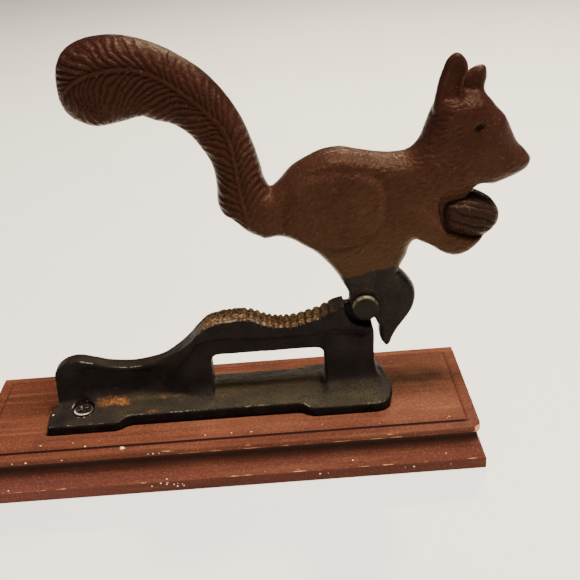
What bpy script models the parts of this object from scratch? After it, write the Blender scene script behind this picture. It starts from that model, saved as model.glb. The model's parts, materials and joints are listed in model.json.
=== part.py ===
"""Squirrel nutcracker on a moulded wooden plinth.

Frame: metres, +Z up, origin at the centre of the plinth's underside, +X
towards the squirrel's nose.  The lever turns about a rivet along Y.
All outlines below are given in millimetres.
"""

import math

import bmesh
import bpy
from mathutils import Matrix, Vector

MM = 0.001
GAP = 0.3            # clearance kept between neighbouring pieces

# Plinth: edge moulding as (inset from the outside, height) from the bottom up.
PLINTH_LENGTH = 203.0
PLINTH_WIDTH = 66.0
PLINTH_TOP = 19.0
PLINTH_PROFILE = (
    (0.0, 4.8), (1.4, 6.6), (2.6, 8.7), (3.6, 11.4), (4.0, 13.6), (3.7, 15.0),
    (2.6, 16.0), (2.6, 18.2), (6.8, 18.2), (6.8, PLINTH_TOP),
)

# Stand casting.
STAND_BOTTOM = PLINTH_TOP + GAP
WEB_BOTTOM = 24.3     # the web's lower edge, inside the foot plate
FLANGE_RIDGE = 27.3   # height of the roof-shaped foot plate on its centre line
FLANGE_FALL = 0.26    # fall of that roof for each millimetre of y
WEB_HALF = 4.3
SADDLE_HALF = 5.7
POST_HALF = 5.9
RIB_COUNT = 13
RIB_START = 12.0
RIB_END = 49.0
RIB_DEPTH = 0.8

# Pivot and foot fork.
PIVOT_X = 59.0
PIVOT_Z = 60.8
TONGUE_HALF = 2.0
EYE_RADIUS = 6.0
CHEEK_RADIUS = 6.3
FOOT_HALF = 4.8
RECESS_RADIUS = 8.2
RIVET_RADIUS = 2.5
RIVET_HEAD_RADIUS = 5.3
RIVET_HEAD_HEIGHT = 2.4
RIVET_HEAD_EDGE = 0.7
FORK_THROAT = ((52.0, 60.0), (52.0, 52.0), (63.9, 50.0), (63.9, 60.0))

# Wood screws, number 8: (x, y) of the two, one in each foot-plate lobe.
SCREW_PLACES = (("screw_front_left", -57.5, -8.0), ("screw_back_right", 51.5, 10.6))
SCREW_TOP = 24.9
SCREW_HEAD_RADIUS = 4.0
SCREW_HEAD_DEPTH = 2.6
SCREW_SHANK_RADIUS = 2.1
SCREW_LENGTH = 19.0
SCREW_POINT = 4.0     # length of the tapered point
SCREW_RIM = 0.5       # straight edge of the head
SLOT_HALF_WIDTH = 0.55
SLOT_DEPTH = 1.0
HOLE_ABOVE = 3.6      # how far a screw's hole is cut above its head

THROUGH = 10.0        # half length of a cutter that passes right through

VOXEL = 2.9          # grid of the remeshed squirrel body

# Saddle's upper line without its ribs, left to right.
SADDLE_TOP = (
    (-7.5, 54.6), (-3.6, 58.2), (0.0, 59.3), (5.0, 60.0), (10.5, 59.8), (16.5, 57.6),
    (21.5, 55.3), (26.5, 54.4), (31.0, 54.4), (35.0, 55.3), (45.0, 59.0), (50.0, 61.2),
)
HUMP_TOP = (
    (-67.6, 34.0), (-66.6, 39.0), (-63.0, 42.3), (-58.5, 43.6), (-52.5, 42.8),
    (-45.0, 40.9), (-36.5, 39.9), (-29.5, 40.6), (-23.5, 42.4), (-18.0, 45.3), (-11.8, 50.1),
)

SADDLE_UNDER = (
    (53.0, 61.0), (50.5, 52.0), (40.0, 49.8), (20.0, 49.6), (0.0, 50.2), (-9.5, 47.5),
)
WEB_RIGHT = (
    (54.0, 61.5), (57.0, 58.0), (61.9, 52.0), (62.0, 36.0), (63.0, 31.0), (65.0, 27.0),
    (65.6, WEB_BOTTOM), (-67.6, WEB_BOTTOM),
)
POST_OUTLINE = (
    (42.0, WEB_BOTTOM), (42.0, 50.5), (50.0, 60.6), (55.5, 60.6), (61.4, 52.4), (61.9, 44.0),
    (62.0, 36.0), (63.0, 31.0), (65.0, 27.0), (65.6, WEB_BOTTOM),
)
WINDOW_LEFT = -3.6
WINDOW_RIGHT = 41.5
WINDOW_TOP = 43.5
WINDOW_BOTTOM = 26.0
WINDOW_ROUND = 4.0

# Foot plate seen from above, from its front left corner round.
FLANGE_OUTLINE = (
    (-71.2, -9.0), (-71.2, -16.8), (-43.0, -16.8), (-38.5, -13.5), (31.0, -13.5),
    (35.0, -16.8), (62.5, -16.8), (67.5, -11.8), (67.5, -2.8), (63.4, 6.0), (61.0, 12.6),
    (57.0, 16.8), (35.0, 16.8), (31.0, 13.5), (-38.5, 13.5), (-43.0, 16.8), (-62.0, 16.8), (-68.0, 10.0),
    (-68.0, -5.0),
)

FLANGE_ROUND = 2.2    # rounding of the foot plate's corners

# Squirrel, side view.
BODY_HALF = 5.5
BODY_ROUND = 3.0
BODY_OUTLINE = (
    (11.0, 104.0), (22.0, 107.0), (26.8, 110.8), (33.0, 115.6), (40.0, 120.2), (51.6, 124.0),
    (61.0, 122.6), (71.0, 121.0), (79.0, 122.8), (84.5, 132.0), (88.2, 144.0), (91.0, 152.0),
    (95.6, 155.0), (99.5, 148.5), (106.0, 139.6), (112.0, 132.2), (117.0, 122.6), (121.6, 116.6),
    (120.2, 111.6), (113.0, 108.6), (103.5, 107.0), (99.0, 100.0), (92.0, 92.0),
    (79.0, 88.8), (75.6, 81.4), (72.0, 75.6), (53.2, 68.6), (49.6, 75.2), (41.0, 86.6),
    (32.5, 92.4), (22.0, 93.0), (9.0, 100.0),
)
FOOT_OUTLINE = (
    (72.0, 74.0), (76.3, 69.0), (78.7, 65.6), (78.8, 62.5), (77.2, 57.0), (71.9, 49.0),
    (68.4, 42.9), (66.5, 42.8), (64.8, 45.6), (64.3, 50.2), (63.5, 52.2),
)
TAIL_LINE = (          # x, z, half width
    (18.0, 99.0, 9.3), (14.8, 110.0, 8.4), (13.0, 123.0, 9.1), (8.6, 135.0, 9.8),
    (1.6, 145.2, 10.8), (-8.4, 152.6, 12.4), (-19.5, 156.0, 14.2), (-29.6, 155.6, 15.6),
    (-36.0, 154.8, 11.0),
)
TAIL_FLATNESS = 0.58
TAIL_END = (-31.4, 0.0, 155.6)
TAIL_END_RADII = (15.6, 8.9, 15.6)
ELLIPSOIDS = (         # x, y, z, radii, tilt about Y in degrees
    (47.5, 0.0, 104.0, (21.0, 12.0, 16.5), 0.0),       # haunch
    (60.0, 0.0, 91.0, (13.5, 9.5, 17.0), 20.0),        # thigh
    (76.0, 0.0, 106.0, (20.0, 10.5, 15.5), 0.0),       # chest
    (97.0, 0.0, 126.0, (12.5, 9.0, 14.0), 0.0),        # head
    (109.5, 0.0, 117.2, (11.0, 6.0, 7.6), 25.0),       # muzzle
    (101.2, 0.0, 94.8, (9.4, 8.5, 8.4), 0.0),          # nut
    (93.6, -4.5, 149.0, (4.6, 2.7, 9.4), 8.0),         # near ear
    (102.6, 4.5, 142.6, (3.8, 2.7, 8.0), 8.0),         # far ear
)
ARM_LINE = ((79.0, 98.0, 6.0), (84.0, 90.4, 5.0), (92.5, 86.2, 4.8), (100.5, 88.4, 4.4),
            (105.5, 93.0, 3.4))
ARM_OFFSET = 3.6     # distance of each forearm from the middle plane

COLOURS = {
    "plinth": (0.17, 0.045, 0.025),
    "stand": (0.012, 0.010, 0.011),
    "squirrel": (0.045, 0.018, 0.010),
    "pivot_rivet": (0.030, 0.025, 0.022),
    "screw": (0.060, 0.055, 0.050),
}


# ---------------------------------------------------------------- helpers

def clear_scene():
    for obj in list(bpy.data.objects):
        bpy.data.objects.remove(obj, do_unlink=True)


def make_collection(name):
    collection = bpy.data.collections.new(name)
    bpy.context.scene.collection.children.link(collection)
    return collection


def material(name, colour, roughness, metallic):
    mat = bpy.data.materials.new(name)
    mat.use_nodes = True
    shader = mat.node_tree.nodes["Principled BSDF"]
    shader.inputs["Base Color"].default_value = (*colour, 1.0)
    shader.inputs["Roughness"].default_value = roughness
    shader.inputs["Metallic"].default_value = metallic
    return mat


def link_mesh(name, mesh, collection):
    obj = bpy.data.objects.new(name, mesh)
    collection.objects.link(obj)
    return obj


def bmesh_object(name, bm, collection):
    mesh = bpy.data.meshes.new(name)
    bm.to_mesh(mesh)
    bm.free()
    return link_mesh(name, mesh, collection)


def as_cutter(obj):
    obj.hide_render = True
    obj.display_type = "WIRE"
    return obj


def curve_to_mesh(curve_object, collection):
    """Replace a curve object by a welded mesh object of the same name."""
    bpy.context.view_layer.update()
    evaluated = curve_object.evaluated_get(bpy.context.evaluated_depsgraph_get())
    mesh = bpy.data.meshes.new_from_object(evaluated)
    bm = bmesh.new()
    bm.from_mesh(mesh)
    bmesh.ops.remove_doubles(bm, verts=bm.verts, dist=0.00001)
    bmesh.ops.recalc_face_normals(bm, faces=bm.faces)
    bm.to_mesh(mesh)
    bm.free()
    matrix = curve_object.matrix_world.copy()
    name = curve_object.name
    bpy.data.objects.remove(curve_object, do_unlink=True)
    obj = link_mesh(name, mesh, collection)
    obj.matrix_world = matrix
    return obj


def slab(name, outlines, half, collection, round_edge=0.0, smooth=False, upright=True):
    """A flat outline (mm) given thickness.  Upright: drawn in XZ, thick along Y."""
    data = bpy.data.curves.new(name, "CURVE")
    data.dimensions = "2D"
    data.fill_mode = "BOTH"
    data.extrude = (half - round_edge) * MM
    data.bevel_depth = round_edge * MM
    data.offset = -round_edge * MM
    data.bevel_resolution = 2
    data.resolution_u = 3
    for outline in outlines:
        kind = "BEZIER" if smooth else "POLY"
        spline = data.splines.new(kind)
        points = spline.bezier_points if smooth else spline.points
        points.add(len(outline) - 1)
        for point, (u, v) in zip(points, outline):
            if smooth:
                point.co = (u * MM, v * MM, 0.0)
                point.handle_left_type = "AUTO"
                point.handle_right_type = "AUTO"
            else:
                point.co = (u * MM, v * MM, 0.0, 1.0)
        spline.use_cyclic_u = True
    obj = bpy.data.objects.new(name, data)
    collection.objects.link(obj)
    if upright:
        obj.rotation_euler = (math.radians(90.0), 0.0, 0.0)
    return curve_to_mesh(obj, collection)


def bar(name, line, y, flatness, collection):
    """A round bar of changing radius along a line in XZ, flattened along Y."""
    data = bpy.data.curves.new(name, "CURVE")
    data.dimensions = "3D"
    data.bevel_depth = MM
    data.bevel_resolution = 5
    data.resolution_u = 5
    data.use_fill_caps = True
    data.twist_mode = "Z_UP"
    spline = data.splines.new("BEZIER")
    spline.bezier_points.add(len(line) - 1)
    for point, (x, z, radius) in zip(spline.bezier_points, line):
        point.co = (x * MM, 0.0, z * MM)
        point.radius = radius
        point.handle_left_type = "AUTO"
        point.handle_right_type = "AUTO"
    obj = bpy.data.objects.new(name, data)
    collection.objects.link(obj)
    obj.location = (0.0, y * MM, 0.0)
    obj.scale = (1.0, flatness, 1.0)
    return curve_to_mesh(obj, collection)


def ball(name, centre, radii, tilt, collection):
    bm = bmesh.new()
    bmesh.ops.create_uvsphere(bm, u_segments=24, v_segments=14, radius=MM)
    turn = Matrix.Rotation(math.radians(tilt), 4, "Y")
    place = Matrix.Translation(Vector(centre) * MM)
    bm.transform(place @ turn @ Matrix.Diagonal((*radii, 1.0)))
    return bmesh_object(name, bm, collection)


def drum(name, radius, half, collection, y=0.0):
    """A round disc about the pivot's axis, its middle at y."""
    bm = bmesh.new()
    bmesh.ops.create_cone(bm, cap_ends=True, segments=48, radius1=radius * MM,
                          radius2=radius * MM, depth=2.0 * half * MM)
    turn = Matrix.Rotation(math.radians(90.0), 4, "X")
    centre = Vector((PIVOT_X, y, PIVOT_Z))
    bm.transform(Matrix.Translation(centre * MM) @ turn)
    return bmesh_object(name, bm, collection)


def box(name, low, high, collection):
    bm = bmesh.new()
    bmesh.ops.create_cube(bm, size=1.0)
    size = [b - a for a, b in zip(low, high)]
    middle = [(a + b) / 2.0 for a, b in zip(low, high)]
    bm.transform(Matrix.Diagonal((*size, 1.0)))
    bm.transform(Matrix.Translation(Vector(middle)))
    bm.transform(Matrix.Diagonal((MM, MM, MM, 1.0)))
    return bmesh_object(name, bm, collection)


def turned(name, profile, collection, segments=40):
    """A turned piece: profile (radius, height) from top to bottom, turned about Z."""
    bm = bmesh.new()
    verts = [bm.verts.new((r * MM, 0.0, z * MM)) for r, z in profile]
    for first, second in zip(verts, verts[1:]):
        bm.edges.new((first, second))
    obj = bmesh_object(name, bm, collection)
    screw = obj.modifiers.new("turn", "SCREW")
    screw.axis = "Z"
    screw.steps = segments
    screw.render_steps = segments
    screw.use_merge_vertices = True
    screw.merge_threshold = 0.00001
    return obj


def boolean(obj, other, operation):
    modifier = obj.modifiers.new(operation.lower() + "_" + other.name, "BOOLEAN")
    modifier.operation = operation
    modifier.object = other
    modifier.solver = "EXACT"


def join(name, pieces, collection):
    """Put several meshes into one object, still overlapping."""
    bm = bmesh.new()
    for piece in pieces:
        part = piece.data.copy()
        part.transform(piece.matrix_world)
        bm.from_mesh(part)
        bpy.data.meshes.remove(part)
        bpy.data.objects.remove(piece, do_unlink=True)
    return bmesh_object(name, bm, collection)


def apply_modifiers(obj):
    """Bake an object's modifiers into its mesh."""
    bpy.context.view_layer.update()
    evaluated = obj.evaluated_get(bpy.context.evaluated_depsgraph_get())
    mesh = bpy.data.meshes.new_from_object(evaluated)
    obj.modifiers.clear()
    obj.data = mesh


def rounded(points, radius, steps=4):
    """A closed polygon with each corner replaced by a short arc."""
    result = []
    count = len(points)
    for i, corner in enumerate(points):
        here = Vector(corner)
        before = Vector(points[i - 1]) - here
        after = Vector(points[(i + 1) % count]) - here
        reach = min(radius, before.length / 2.2, after.length / 2.2)
        start = here + before.normalized() * reach
        end = here + after.normalized() * reach
        for k in range(steps + 1):
            t = k / steps
            result.append(tuple(start.lerp(here, t).lerp(here.lerp(end, t), t)))
    return result


def height_at(line, x):
    """Height of a line of (x, z) points at x."""
    for (xa, za), (xb, zb) in zip(line, line[1:]):
        if xa <= x <= xb:
            t = (x - xa) / (xb - xa)
            t = t * t * (3.0 - 2.0 * t) * 0.35 + t * 0.65
            return za + (zb - za) * t
    return line[0][1] if x < line[0][0] else line[-1][1]


def arc(centre, radius, start, end, steps):
    """Points on an arc, angles in degrees."""
    points = []
    for k in range(steps + 1):
        angle = math.radians(start + (end - start) * k / steps)
        points.append((centre[0] + radius * math.cos(angle), centre[1] + radius * math.sin(angle)))
    return points


# ---------------------------------------------------------------- plinth

def make_plinth(parts, cutters):
    bm = bmesh.new()
    bmesh.ops.create_cube(bm, size=1.0)
    first_height = PLINTH_PROFILE[0][1]
    for vert in bm.verts:
        vert.co.x *= PLINTH_LENGTH * MM
        vert.co.y *= PLINTH_WIDTH * MM
        vert.co.z = first_height * MM if vert.co.z > 0.0 else 0.0
    top = max(bm.faces, key=lambda face: face.calc_center_median().z)
    for inset, height in PLINTH_PROFILE[1:]:
        grown = bmesh.ops.extrude_face_region(bm, geom=[top])
        bmesh.ops.delete(bm, geom=[top], context="FACES_ONLY")
        ring = [item for item in grown["geom"] if isinstance(item, bmesh.types.BMVert)]
        top = [item for item in grown["geom"] if isinstance(item, bmesh.types.BMFace)][0]
        for vert in ring:
            vert.co.x = math.copysign((PLINTH_LENGTH / 2.0 - inset) * MM, vert.co.x)
            vert.co.y = math.copysign((PLINTH_WIDTH / 2.0 - inset) * MM, vert.co.y)
            vert.co.z = height * MM
    bmesh.ops.recalc_face_normals(bm, faces=bm.faces)
    plinth = bmesh_object("plinth", bm, parts)
    for name, x, y in SCREW_PLACES:
        boolean(plinth, screw_hole(name + "_pilot", x, y, cutters), "DIFFERENCE")
    return plinth


# ---------------------------------------------------------------- screws and rivet

def screw_profile(grow):
    """Half section of a countersunk screw below its face, which is at height 0."""
    shank = SCREW_SHANK_RADIUS + grow
    head = SCREW_HEAD_RADIUS + grow
    end = -SCREW_LENGTH - grow
    return ((head, -SCREW_RIM), (shank, -SCREW_HEAD_DEPTH), (shank, end + SCREW_POINT),
            (0.25, end), (0.0, end))


def screw_hole(name, x, y, cutters):
    """Cutter for one screw, with clearance, open above the head."""
    head = SCREW_HEAD_RADIUS + GAP
    profile = ((0.0, HOLE_ABOVE), (head, HOLE_ABOVE)) + screw_profile(GAP)
    hole = turned(name, profile, cutters)
    hole.location = (x * MM, y * MM, SCREW_TOP * MM)
    return as_cutter(hole)


def make_screw(name, x, y, parts, cutters):
    profile = ((0.0, 0.0), (SCREW_HEAD_RADIUS, 0.0)) + screw_profile(0.0)
    screw = turned(name, profile, parts)
    screw.location = (x * MM, y * MM, SCREW_TOP * MM)
    low = (-THROUGH, -SLOT_HALF_WIDTH, -SLOT_DEPTH)
    high = (THROUGH, SLOT_HALF_WIDTH, SLOT_DEPTH)
    slot = box(name + "_slot", low, high, cutters)
    slot.parent = screw
    boolean(screw, as_cutter(slot), "DIFFERENCE")
    return screw


def make_rivet(parts):
    seat = FOOT_HALF + GAP
    crown = seat + RIVET_HEAD_HEIGHT
    shoulder = seat + RIVET_HEAD_EDGE
    dome = []
    for k in range(5):
        angle = math.radians(22.5 * k)
        height = shoulder + (crown - shoulder) * math.cos(angle)
        dome.append((RIVET_HEAD_RADIUS * math.sin(angle), height))
    upper = [(0.0, crown)] + dome[1:] + [(RIVET_HEAD_RADIUS, seat), (RIVET_RADIUS, seat)]
    lower = [(radius, -height) for radius, height in reversed(upper)]
    rivet = turned("pivot_rivet", upper + lower, parts, 32)
    rivet.location = (PIVOT_X * MM, 0.0, PIVOT_Z * MM)
    rivet.rotation_euler = (math.radians(90.0), 0.0, 0.0)
    return rivet


# ---------------------------------------------------------------- stand

def saddle_line():
    """Upper line of the saddle with its ribs cut in."""
    samples = 6
    points = [point for point in SADDLE_TOP if point[0] < RIB_START]
    total = RIB_COUNT * samples
    for k in range(total + 1):
        x = RIB_START + (RIB_END - RIB_START) * k / total
        groove = RIB_DEPTH * (0.5 - 0.5 * math.cos(2.0 * math.pi * k / samples))
        points.append((x, height_at(SADDLE_TOP, x) - groove))
    return points


def make_flange(collection, cutters):
    outline = rounded(FLANGE_OUTLINE, FLANGE_ROUND)
    flange = slab("stand", [outline], (FLANGE_RIDGE - STAND_BOTTOM) / 2.0, collection,
                  upright=False)
    flange.location = (0.0, 0.0, (FLANGE_RIDGE + STAND_BOTTOM) / 2.0 * MM)
    for side in (-1.0, 1.0):
        low = (-PLINTH_LENGTH / 2.0, -1.0, 0.0)
        high = (PLINTH_LENGTH / 2.0, PLINTH_WIDTH / 2.0, THROUGH)
        wedge = box("roof_cut", low, high, cutters)
        if side < 0.0:
            wedge.data.transform(Matrix.Rotation(math.pi, 4, "Z"))
        wedge.location = (0.0, 0.0, FLANGE_RIDGE * MM)
        wedge.rotation_euler = (-side * math.atan(FLANGE_FALL), 0.0, 0.0)
        boolean(flange, as_cutter(wedge), "DIFFERENCE")
    return flange


def make_stand(parts, cutters):
    stand = make_flange(parts, cutters)
    web = HUMP_TOP + SADDLE_TOP[1:] + WEB_RIGHT
    window = ((WINDOW_LEFT, WINDOW_BOTTOM), (WINDOW_LEFT, WINDOW_TOP),
              (WINDOW_RIGHT, WINDOW_TOP), (WINDOW_RIGHT, WINDOW_BOTTOM))
    web_piece = slab("stand_web", [web, rounded(window, WINDOW_ROUND)], WEB_HALF, cutters)
    boolean(stand, as_cutter(web_piece), "UNION")
    saddle = tuple(saddle_line()) + SADDLE_UNDER
    saddle_piece = slab("stand_saddle", [saddle], SADDLE_HALF, cutters)
    boolean(stand, as_cutter(saddle_piece), "UNION")
    post_piece = slab("stand_post", [POST_OUTLINE], POST_HALF, cutters)
    boolean(stand, as_cutter(post_piece), "UNION")

    eye = drum("stand_eye", EYE_RADIUS, TONGUE_HALF, cutters)
    boolean(stand, as_cutter(eye), "UNION")
    half = THROUGH / 2.0
    for side in (-1.0, 1.0):
        recess = drum("stand_recess", RECESS_RADIUS, half, cutters, side * (TONGUE_HALF + half))
        boolean(stand, as_cutter(recess), "DIFFERENCE")
    bore = drum("stand_bore", RIVET_RADIUS + GAP, THROUGH, cutters)
    boolean(stand, as_cutter(bore), "DIFFERENCE")
    for name, x, y in SCREW_PLACES:
        boolean(stand, screw_hole(name + "_sink", x, y, cutters), "DIFFERENCE")
    return stand


# ---------------------------------------------------------------- squirrel

def make_squirrel(parts, cutters):
    pieces = [slab("body", [BODY_OUTLINE], BODY_HALF, cutters, BODY_ROUND, smooth=True)]
    pieces.append(bar("tail", TAIL_LINE, 0.0, TAIL_FLATNESS, cutters))
    pieces.append(ball("tail_end", TAIL_END, TAIL_END_RADII, 0.0, cutters))
    for number, (x, y, z, radii, tilt) in enumerate(ELLIPSOIDS):
        pieces.append(ball("form_%d" % number, (x, y, z), radii, tilt, cutters))
    for side in (-1.0, 1.0):
        pieces.append(bar("arm", ARM_LINE, side * ARM_OFFSET, 1.0, cutters))
    squirrel = join("squirrel", pieces, parts)
    remesh = squirrel.modifiers.new("remesh", "REMESH")
    remesh.mode = "VOXEL"
    remesh.voxel_size = VOXEL * MM
    remesh.use_smooth_shade = True
    smooth = squirrel.modifiers.new("smooth", "SMOOTH")
    smooth.factor = 0.5
    smooth.iterations = 2
    apply_modifiers(squirrel)

    turn = arc((PIVOT_X, PIVOT_Z), CHEEK_RADIUS, -58.0, -200.0, 14)
    foot = list(FOOT_OUTLINE) + turn + [(53.2, 66.0), (51.0, 72.0), (60.0, 82.0), (70.0, 80.0)]
    foot_piece = slab("squirrel_foot", [foot], FOOT_HALF, cutters)
    boolean(squirrel, as_cutter(foot_piece), "UNION")
    fork = drum("squirrel_fork", RECESS_RADIUS, TONGUE_HALF + GAP, cutters)
    boolean(squirrel, as_cutter(fork), "DIFFERENCE")
    throat = slab("squirrel_throat", [FORK_THROAT], TONGUE_HALF + GAP, cutters)
    boolean(squirrel, as_cutter(throat), "DIFFERENCE")
    bore = drum("squirrel_bore", RIVET_RADIUS + GAP, THROUGH, cutters)
    boolean(squirrel, as_cutter(bore), "DIFFERENCE")
    origin = Vector((PIVOT_X * MM, 0.0, PIVOT_Z * MM))
    squirrel.data.transform(Matrix.Translation(-origin))
    squirrel.location = origin
    return squirrel


# ---------------------------------------------------------------- assembly

def finish(obj, mat):
    obj.data.materials.clear()
    obj.data.materials.append(mat)
    obj.data.shade_smooth()


def build():
    clear_scene()
    parts = make_collection("nutcracker")
    cutters = make_collection("cutters")
    iron = material("black_paint", COLOURS["stand"], 0.45, 0.0)
    brown = material("brown_paint", COLOURS["squirrel"], 0.35, 0.0)
    wood = material("stained_wood", COLOURS["plinth"], 0.5, 0.0)
    worn = material("worn_steel", COLOURS["pivot_rivet"], 0.4, 0.6)
    steel = material("screw_steel", COLOURS["screw"], 0.35, 0.9)
    finish(make_plinth(parts, cutters), wood)
    finish(make_stand(parts, cutters), iron)
    finish(make_squirrel(parts, cutters), brown)
    finish(make_rivet(parts), worn)
    for name, x, y in SCREW_PLACES:
        finish(make_screw(name, x, y, parts, cutters), steel)


build()
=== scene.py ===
"""Looks of the squirrel nutcracker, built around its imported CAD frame.

The two iron castings are modelled as implicit surfaces: outlines in the side
view give each form its silhouette and a depth field gives it its thickness.
The surface is meshed with a surface net, then fur, feather barbs, ribs and
casting roughness are pushed into the mesh.  Lengths here are millimetres in
the row frame unless a name says otherwise; meshes are scaled to metres.
"""

import json
import math

import bpy
import numpy as np
from mathutils import Matrix, Vector


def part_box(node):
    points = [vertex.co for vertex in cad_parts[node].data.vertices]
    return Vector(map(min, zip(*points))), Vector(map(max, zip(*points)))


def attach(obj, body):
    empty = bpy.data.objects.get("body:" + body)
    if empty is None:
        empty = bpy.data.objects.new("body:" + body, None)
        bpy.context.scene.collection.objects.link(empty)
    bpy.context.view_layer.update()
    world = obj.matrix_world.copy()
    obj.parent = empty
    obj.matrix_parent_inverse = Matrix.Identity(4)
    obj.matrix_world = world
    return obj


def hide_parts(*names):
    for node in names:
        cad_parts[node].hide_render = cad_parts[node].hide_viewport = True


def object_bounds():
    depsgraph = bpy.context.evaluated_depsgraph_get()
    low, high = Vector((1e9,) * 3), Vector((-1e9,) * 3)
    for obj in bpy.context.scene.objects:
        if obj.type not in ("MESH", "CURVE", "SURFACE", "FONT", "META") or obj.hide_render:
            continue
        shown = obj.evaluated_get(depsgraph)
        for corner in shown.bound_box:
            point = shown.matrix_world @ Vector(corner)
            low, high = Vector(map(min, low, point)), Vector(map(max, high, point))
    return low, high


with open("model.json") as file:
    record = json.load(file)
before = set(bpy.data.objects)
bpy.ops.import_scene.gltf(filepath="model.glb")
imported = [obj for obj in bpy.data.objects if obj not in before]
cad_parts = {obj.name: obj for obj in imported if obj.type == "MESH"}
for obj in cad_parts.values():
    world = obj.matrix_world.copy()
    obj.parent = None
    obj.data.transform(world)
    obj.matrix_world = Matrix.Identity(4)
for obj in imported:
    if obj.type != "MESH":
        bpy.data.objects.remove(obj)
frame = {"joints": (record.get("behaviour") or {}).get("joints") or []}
CAD_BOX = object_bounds()

MM = 0.001
PIVOT = np.array(frame["joints"][0]["pos_m"]) / MM


def node_box(name):
    """Lowest and highest corner of a CAD node in millimetres."""
    low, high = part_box(name)
    return np.array(low) / MM, np.array(high) / MM


# ---------------------------------------------------------------- numbers

def smoothstep(low, high, value):
    """0 at low and 1 at high, with a smooth run between them."""
    t = np.clip((value - low) / (high - low), 0.0, 1.0)
    return t * t * (3.0 - 2.0 * t)


def smooth_union(a, b, blend):
    """Union of two fields, with a fillet over the blend distance."""
    h = np.clip(0.5 + 0.5 * (b - a) / blend, 0.0, 1.0)
    return b * (1.0 - h) + a * h - blend * h * (1.0 - h)


def smooth_cut(a, b, blend):
    """a without b."""
    return -smooth_union(-a, b, blend)


def rounded_both(a, b, radius):
    """What two fields share, with the edge where they meet rounded."""
    a, b = a + radius, b + radius
    outer = np.sqrt(np.maximum(a, 0.0) ** 2 + np.maximum(b, 0.0) ** 2)
    return np.minimum(np.maximum(a, b), 0.0) + outer - radius


def bell(offset, width):
    """1 where the offset is 0, falling to 0 over about twice the width."""
    return np.exp(-(offset / width) ** 2)


# Turns the noise, so that its cells don't line up with the object.
TWIST = np.array(Matrix.Rotation(0.9, 3, Vector((0.61, 0.35, 0.71))))


class Noise:
    """Smooth random field that repeats every 32 cells."""

    SIZE = 32

    def __init__(self, seed):
        table = np.random.default_rng(seed).random((self.SIZE,) * 3)
        self.table = (table * 2.0 - 1.0).astype(np.float32)

    def __call__(self, points, cell):
        points = points @ TWIST
        p = np.asarray(points, float) / cell
        base = np.floor(p).astype(int)
        f = p - base
        f = f * f * (3.0 - 2.0 * f)
        total = np.zeros(len(p))
        for i in (0, 1):
            for j in (0, 1):
                for k in (0, 1):
                    index = (base + (i, j, k)) % self.SIZE
                    weight = (np.where(i, f[:, 0], 1.0 - f[:, 0])
                              * np.where(j, f[:, 1], 1.0 - f[:, 1])
                              * np.where(k, f[:, 2], 1.0 - f[:, 2]))
                    total += weight * self.table[index[:, 0], index[:, 1], index[:, 2]]
        return total


# ---------------------------------------------------------------- outlines

def smooth_outline(points, corners=(), per_segment=6, closed=True):
    """Curve through the points, sharp at the corners' indices."""
    p = np.array(points, float)
    count = len(p)
    result = []
    for i in range(count if closed else count - 1):
        p1, p2 = p[i], p[(i + 1) % count]
        p0 = p[i - 1] if closed or i > 0 else p1
        p3 = p[(i + 2) % count] if closed or i + 2 < count else p2
        d01 = max(np.linalg.norm(p1 - p0), 1e-6)
        d12 = max(np.linalg.norm(p2 - p1), 1e-6)
        d23 = max(np.linalg.norm(p3 - p2), 1e-6)
        m1 = d12 * ((p1 - p0) / d01 - (p2 - p0) / (d01 + d12) + (p2 - p1) / d12)
        m2 = d12 * ((p2 - p1) / d12 - (p3 - p1) / (d12 + d23) + (p3 - p2) / d23)
        if i in corners or (not closed and i == 0):
            m1 = p2 - p1
        if (i + 1) % count in corners or (not closed and i + 2 >= count):
            m2 = p2 - p1
        for t in np.arange(per_segment) / per_segment:
            h1 = 2 * t ** 3 - 3 * t ** 2 + 1
            h2 = t ** 3 - 2 * t ** 2 + t
            h3 = -2 * t ** 3 + 3 * t ** 2
            h4 = t ** 3 - t ** 2
            result.append(h1 * p1 + h2 * m1 + h3 * p2 + h4 * m2)
    if not closed:
        result.append(p[-1])
    return np.array(result)


def arc(centre, radius, start, end, steps):
    """Points along an arc between two angles in degrees."""
    angles = np.radians(np.linspace(start, end, steps))
    return [(centre[0] + radius * math.cos(a), centre[1] + radius * math.sin(a)) for a in angles]


def signed_distance(outline, u, v):
    """Distance of points to a closed outline, negative inside."""
    best = np.full(u.shape, 1e12)
    inside = np.zeros(u.shape, bool)
    for (au, av), (bu, bv) in zip(outline, np.roll(outline, -1, axis=0)):
        eu, ev = bu - au, bv - av
        length = max(eu * eu + ev * ev, 1e-9)
        t = np.clip(((u - au) * eu + (v - av) * ev) / length, 0.0, 1.0)
        best = np.minimum(best, (u - au - t * eu) ** 2 + (v - av - t * ev) ** 2)
        if av != bv:
            inside ^= ((av > v) != (bv > v)) & (u < (bu - au) * (v - av) / (bv - av) + au)
    return np.where(inside, -1.0, 1.0) * np.sqrt(best)


def curve_gap(points, u, v):
    """Signed distance to the smooth closed curve through the points."""
    return signed_distance(smooth_outline(points, per_segment=4), u, v)


def along_line(line, u, v):
    """For each point: arc length of the nearest place on the line, and its signed offset."""
    best = np.full(u.shape, 1e12)
    place = np.zeros(u.shape)
    side = np.zeros(u.shape)
    run = 0.0
    for (au, av), (bu, bv) in zip(line[:-1], line[1:]):
        eu, ev = bu - au, bv - av
        length = math.hypot(eu, ev)
        t = np.clip(((u - au) * eu + (v - av) * ev) / length ** 2, 0.0, 1.0)
        gap = (u - au - t * eu) ** 2 + (v - av - t * ev) ** 2
        nearer = gap < best
        best = np.where(nearer, gap, best)
        place = np.where(nearer, run + t * length, place)
        cross = eu * (v - av) - ev * (u - au)
        side = np.where(nearer, np.sign(cross), side)
        run += length
    return place, side * np.sqrt(best)


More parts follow.
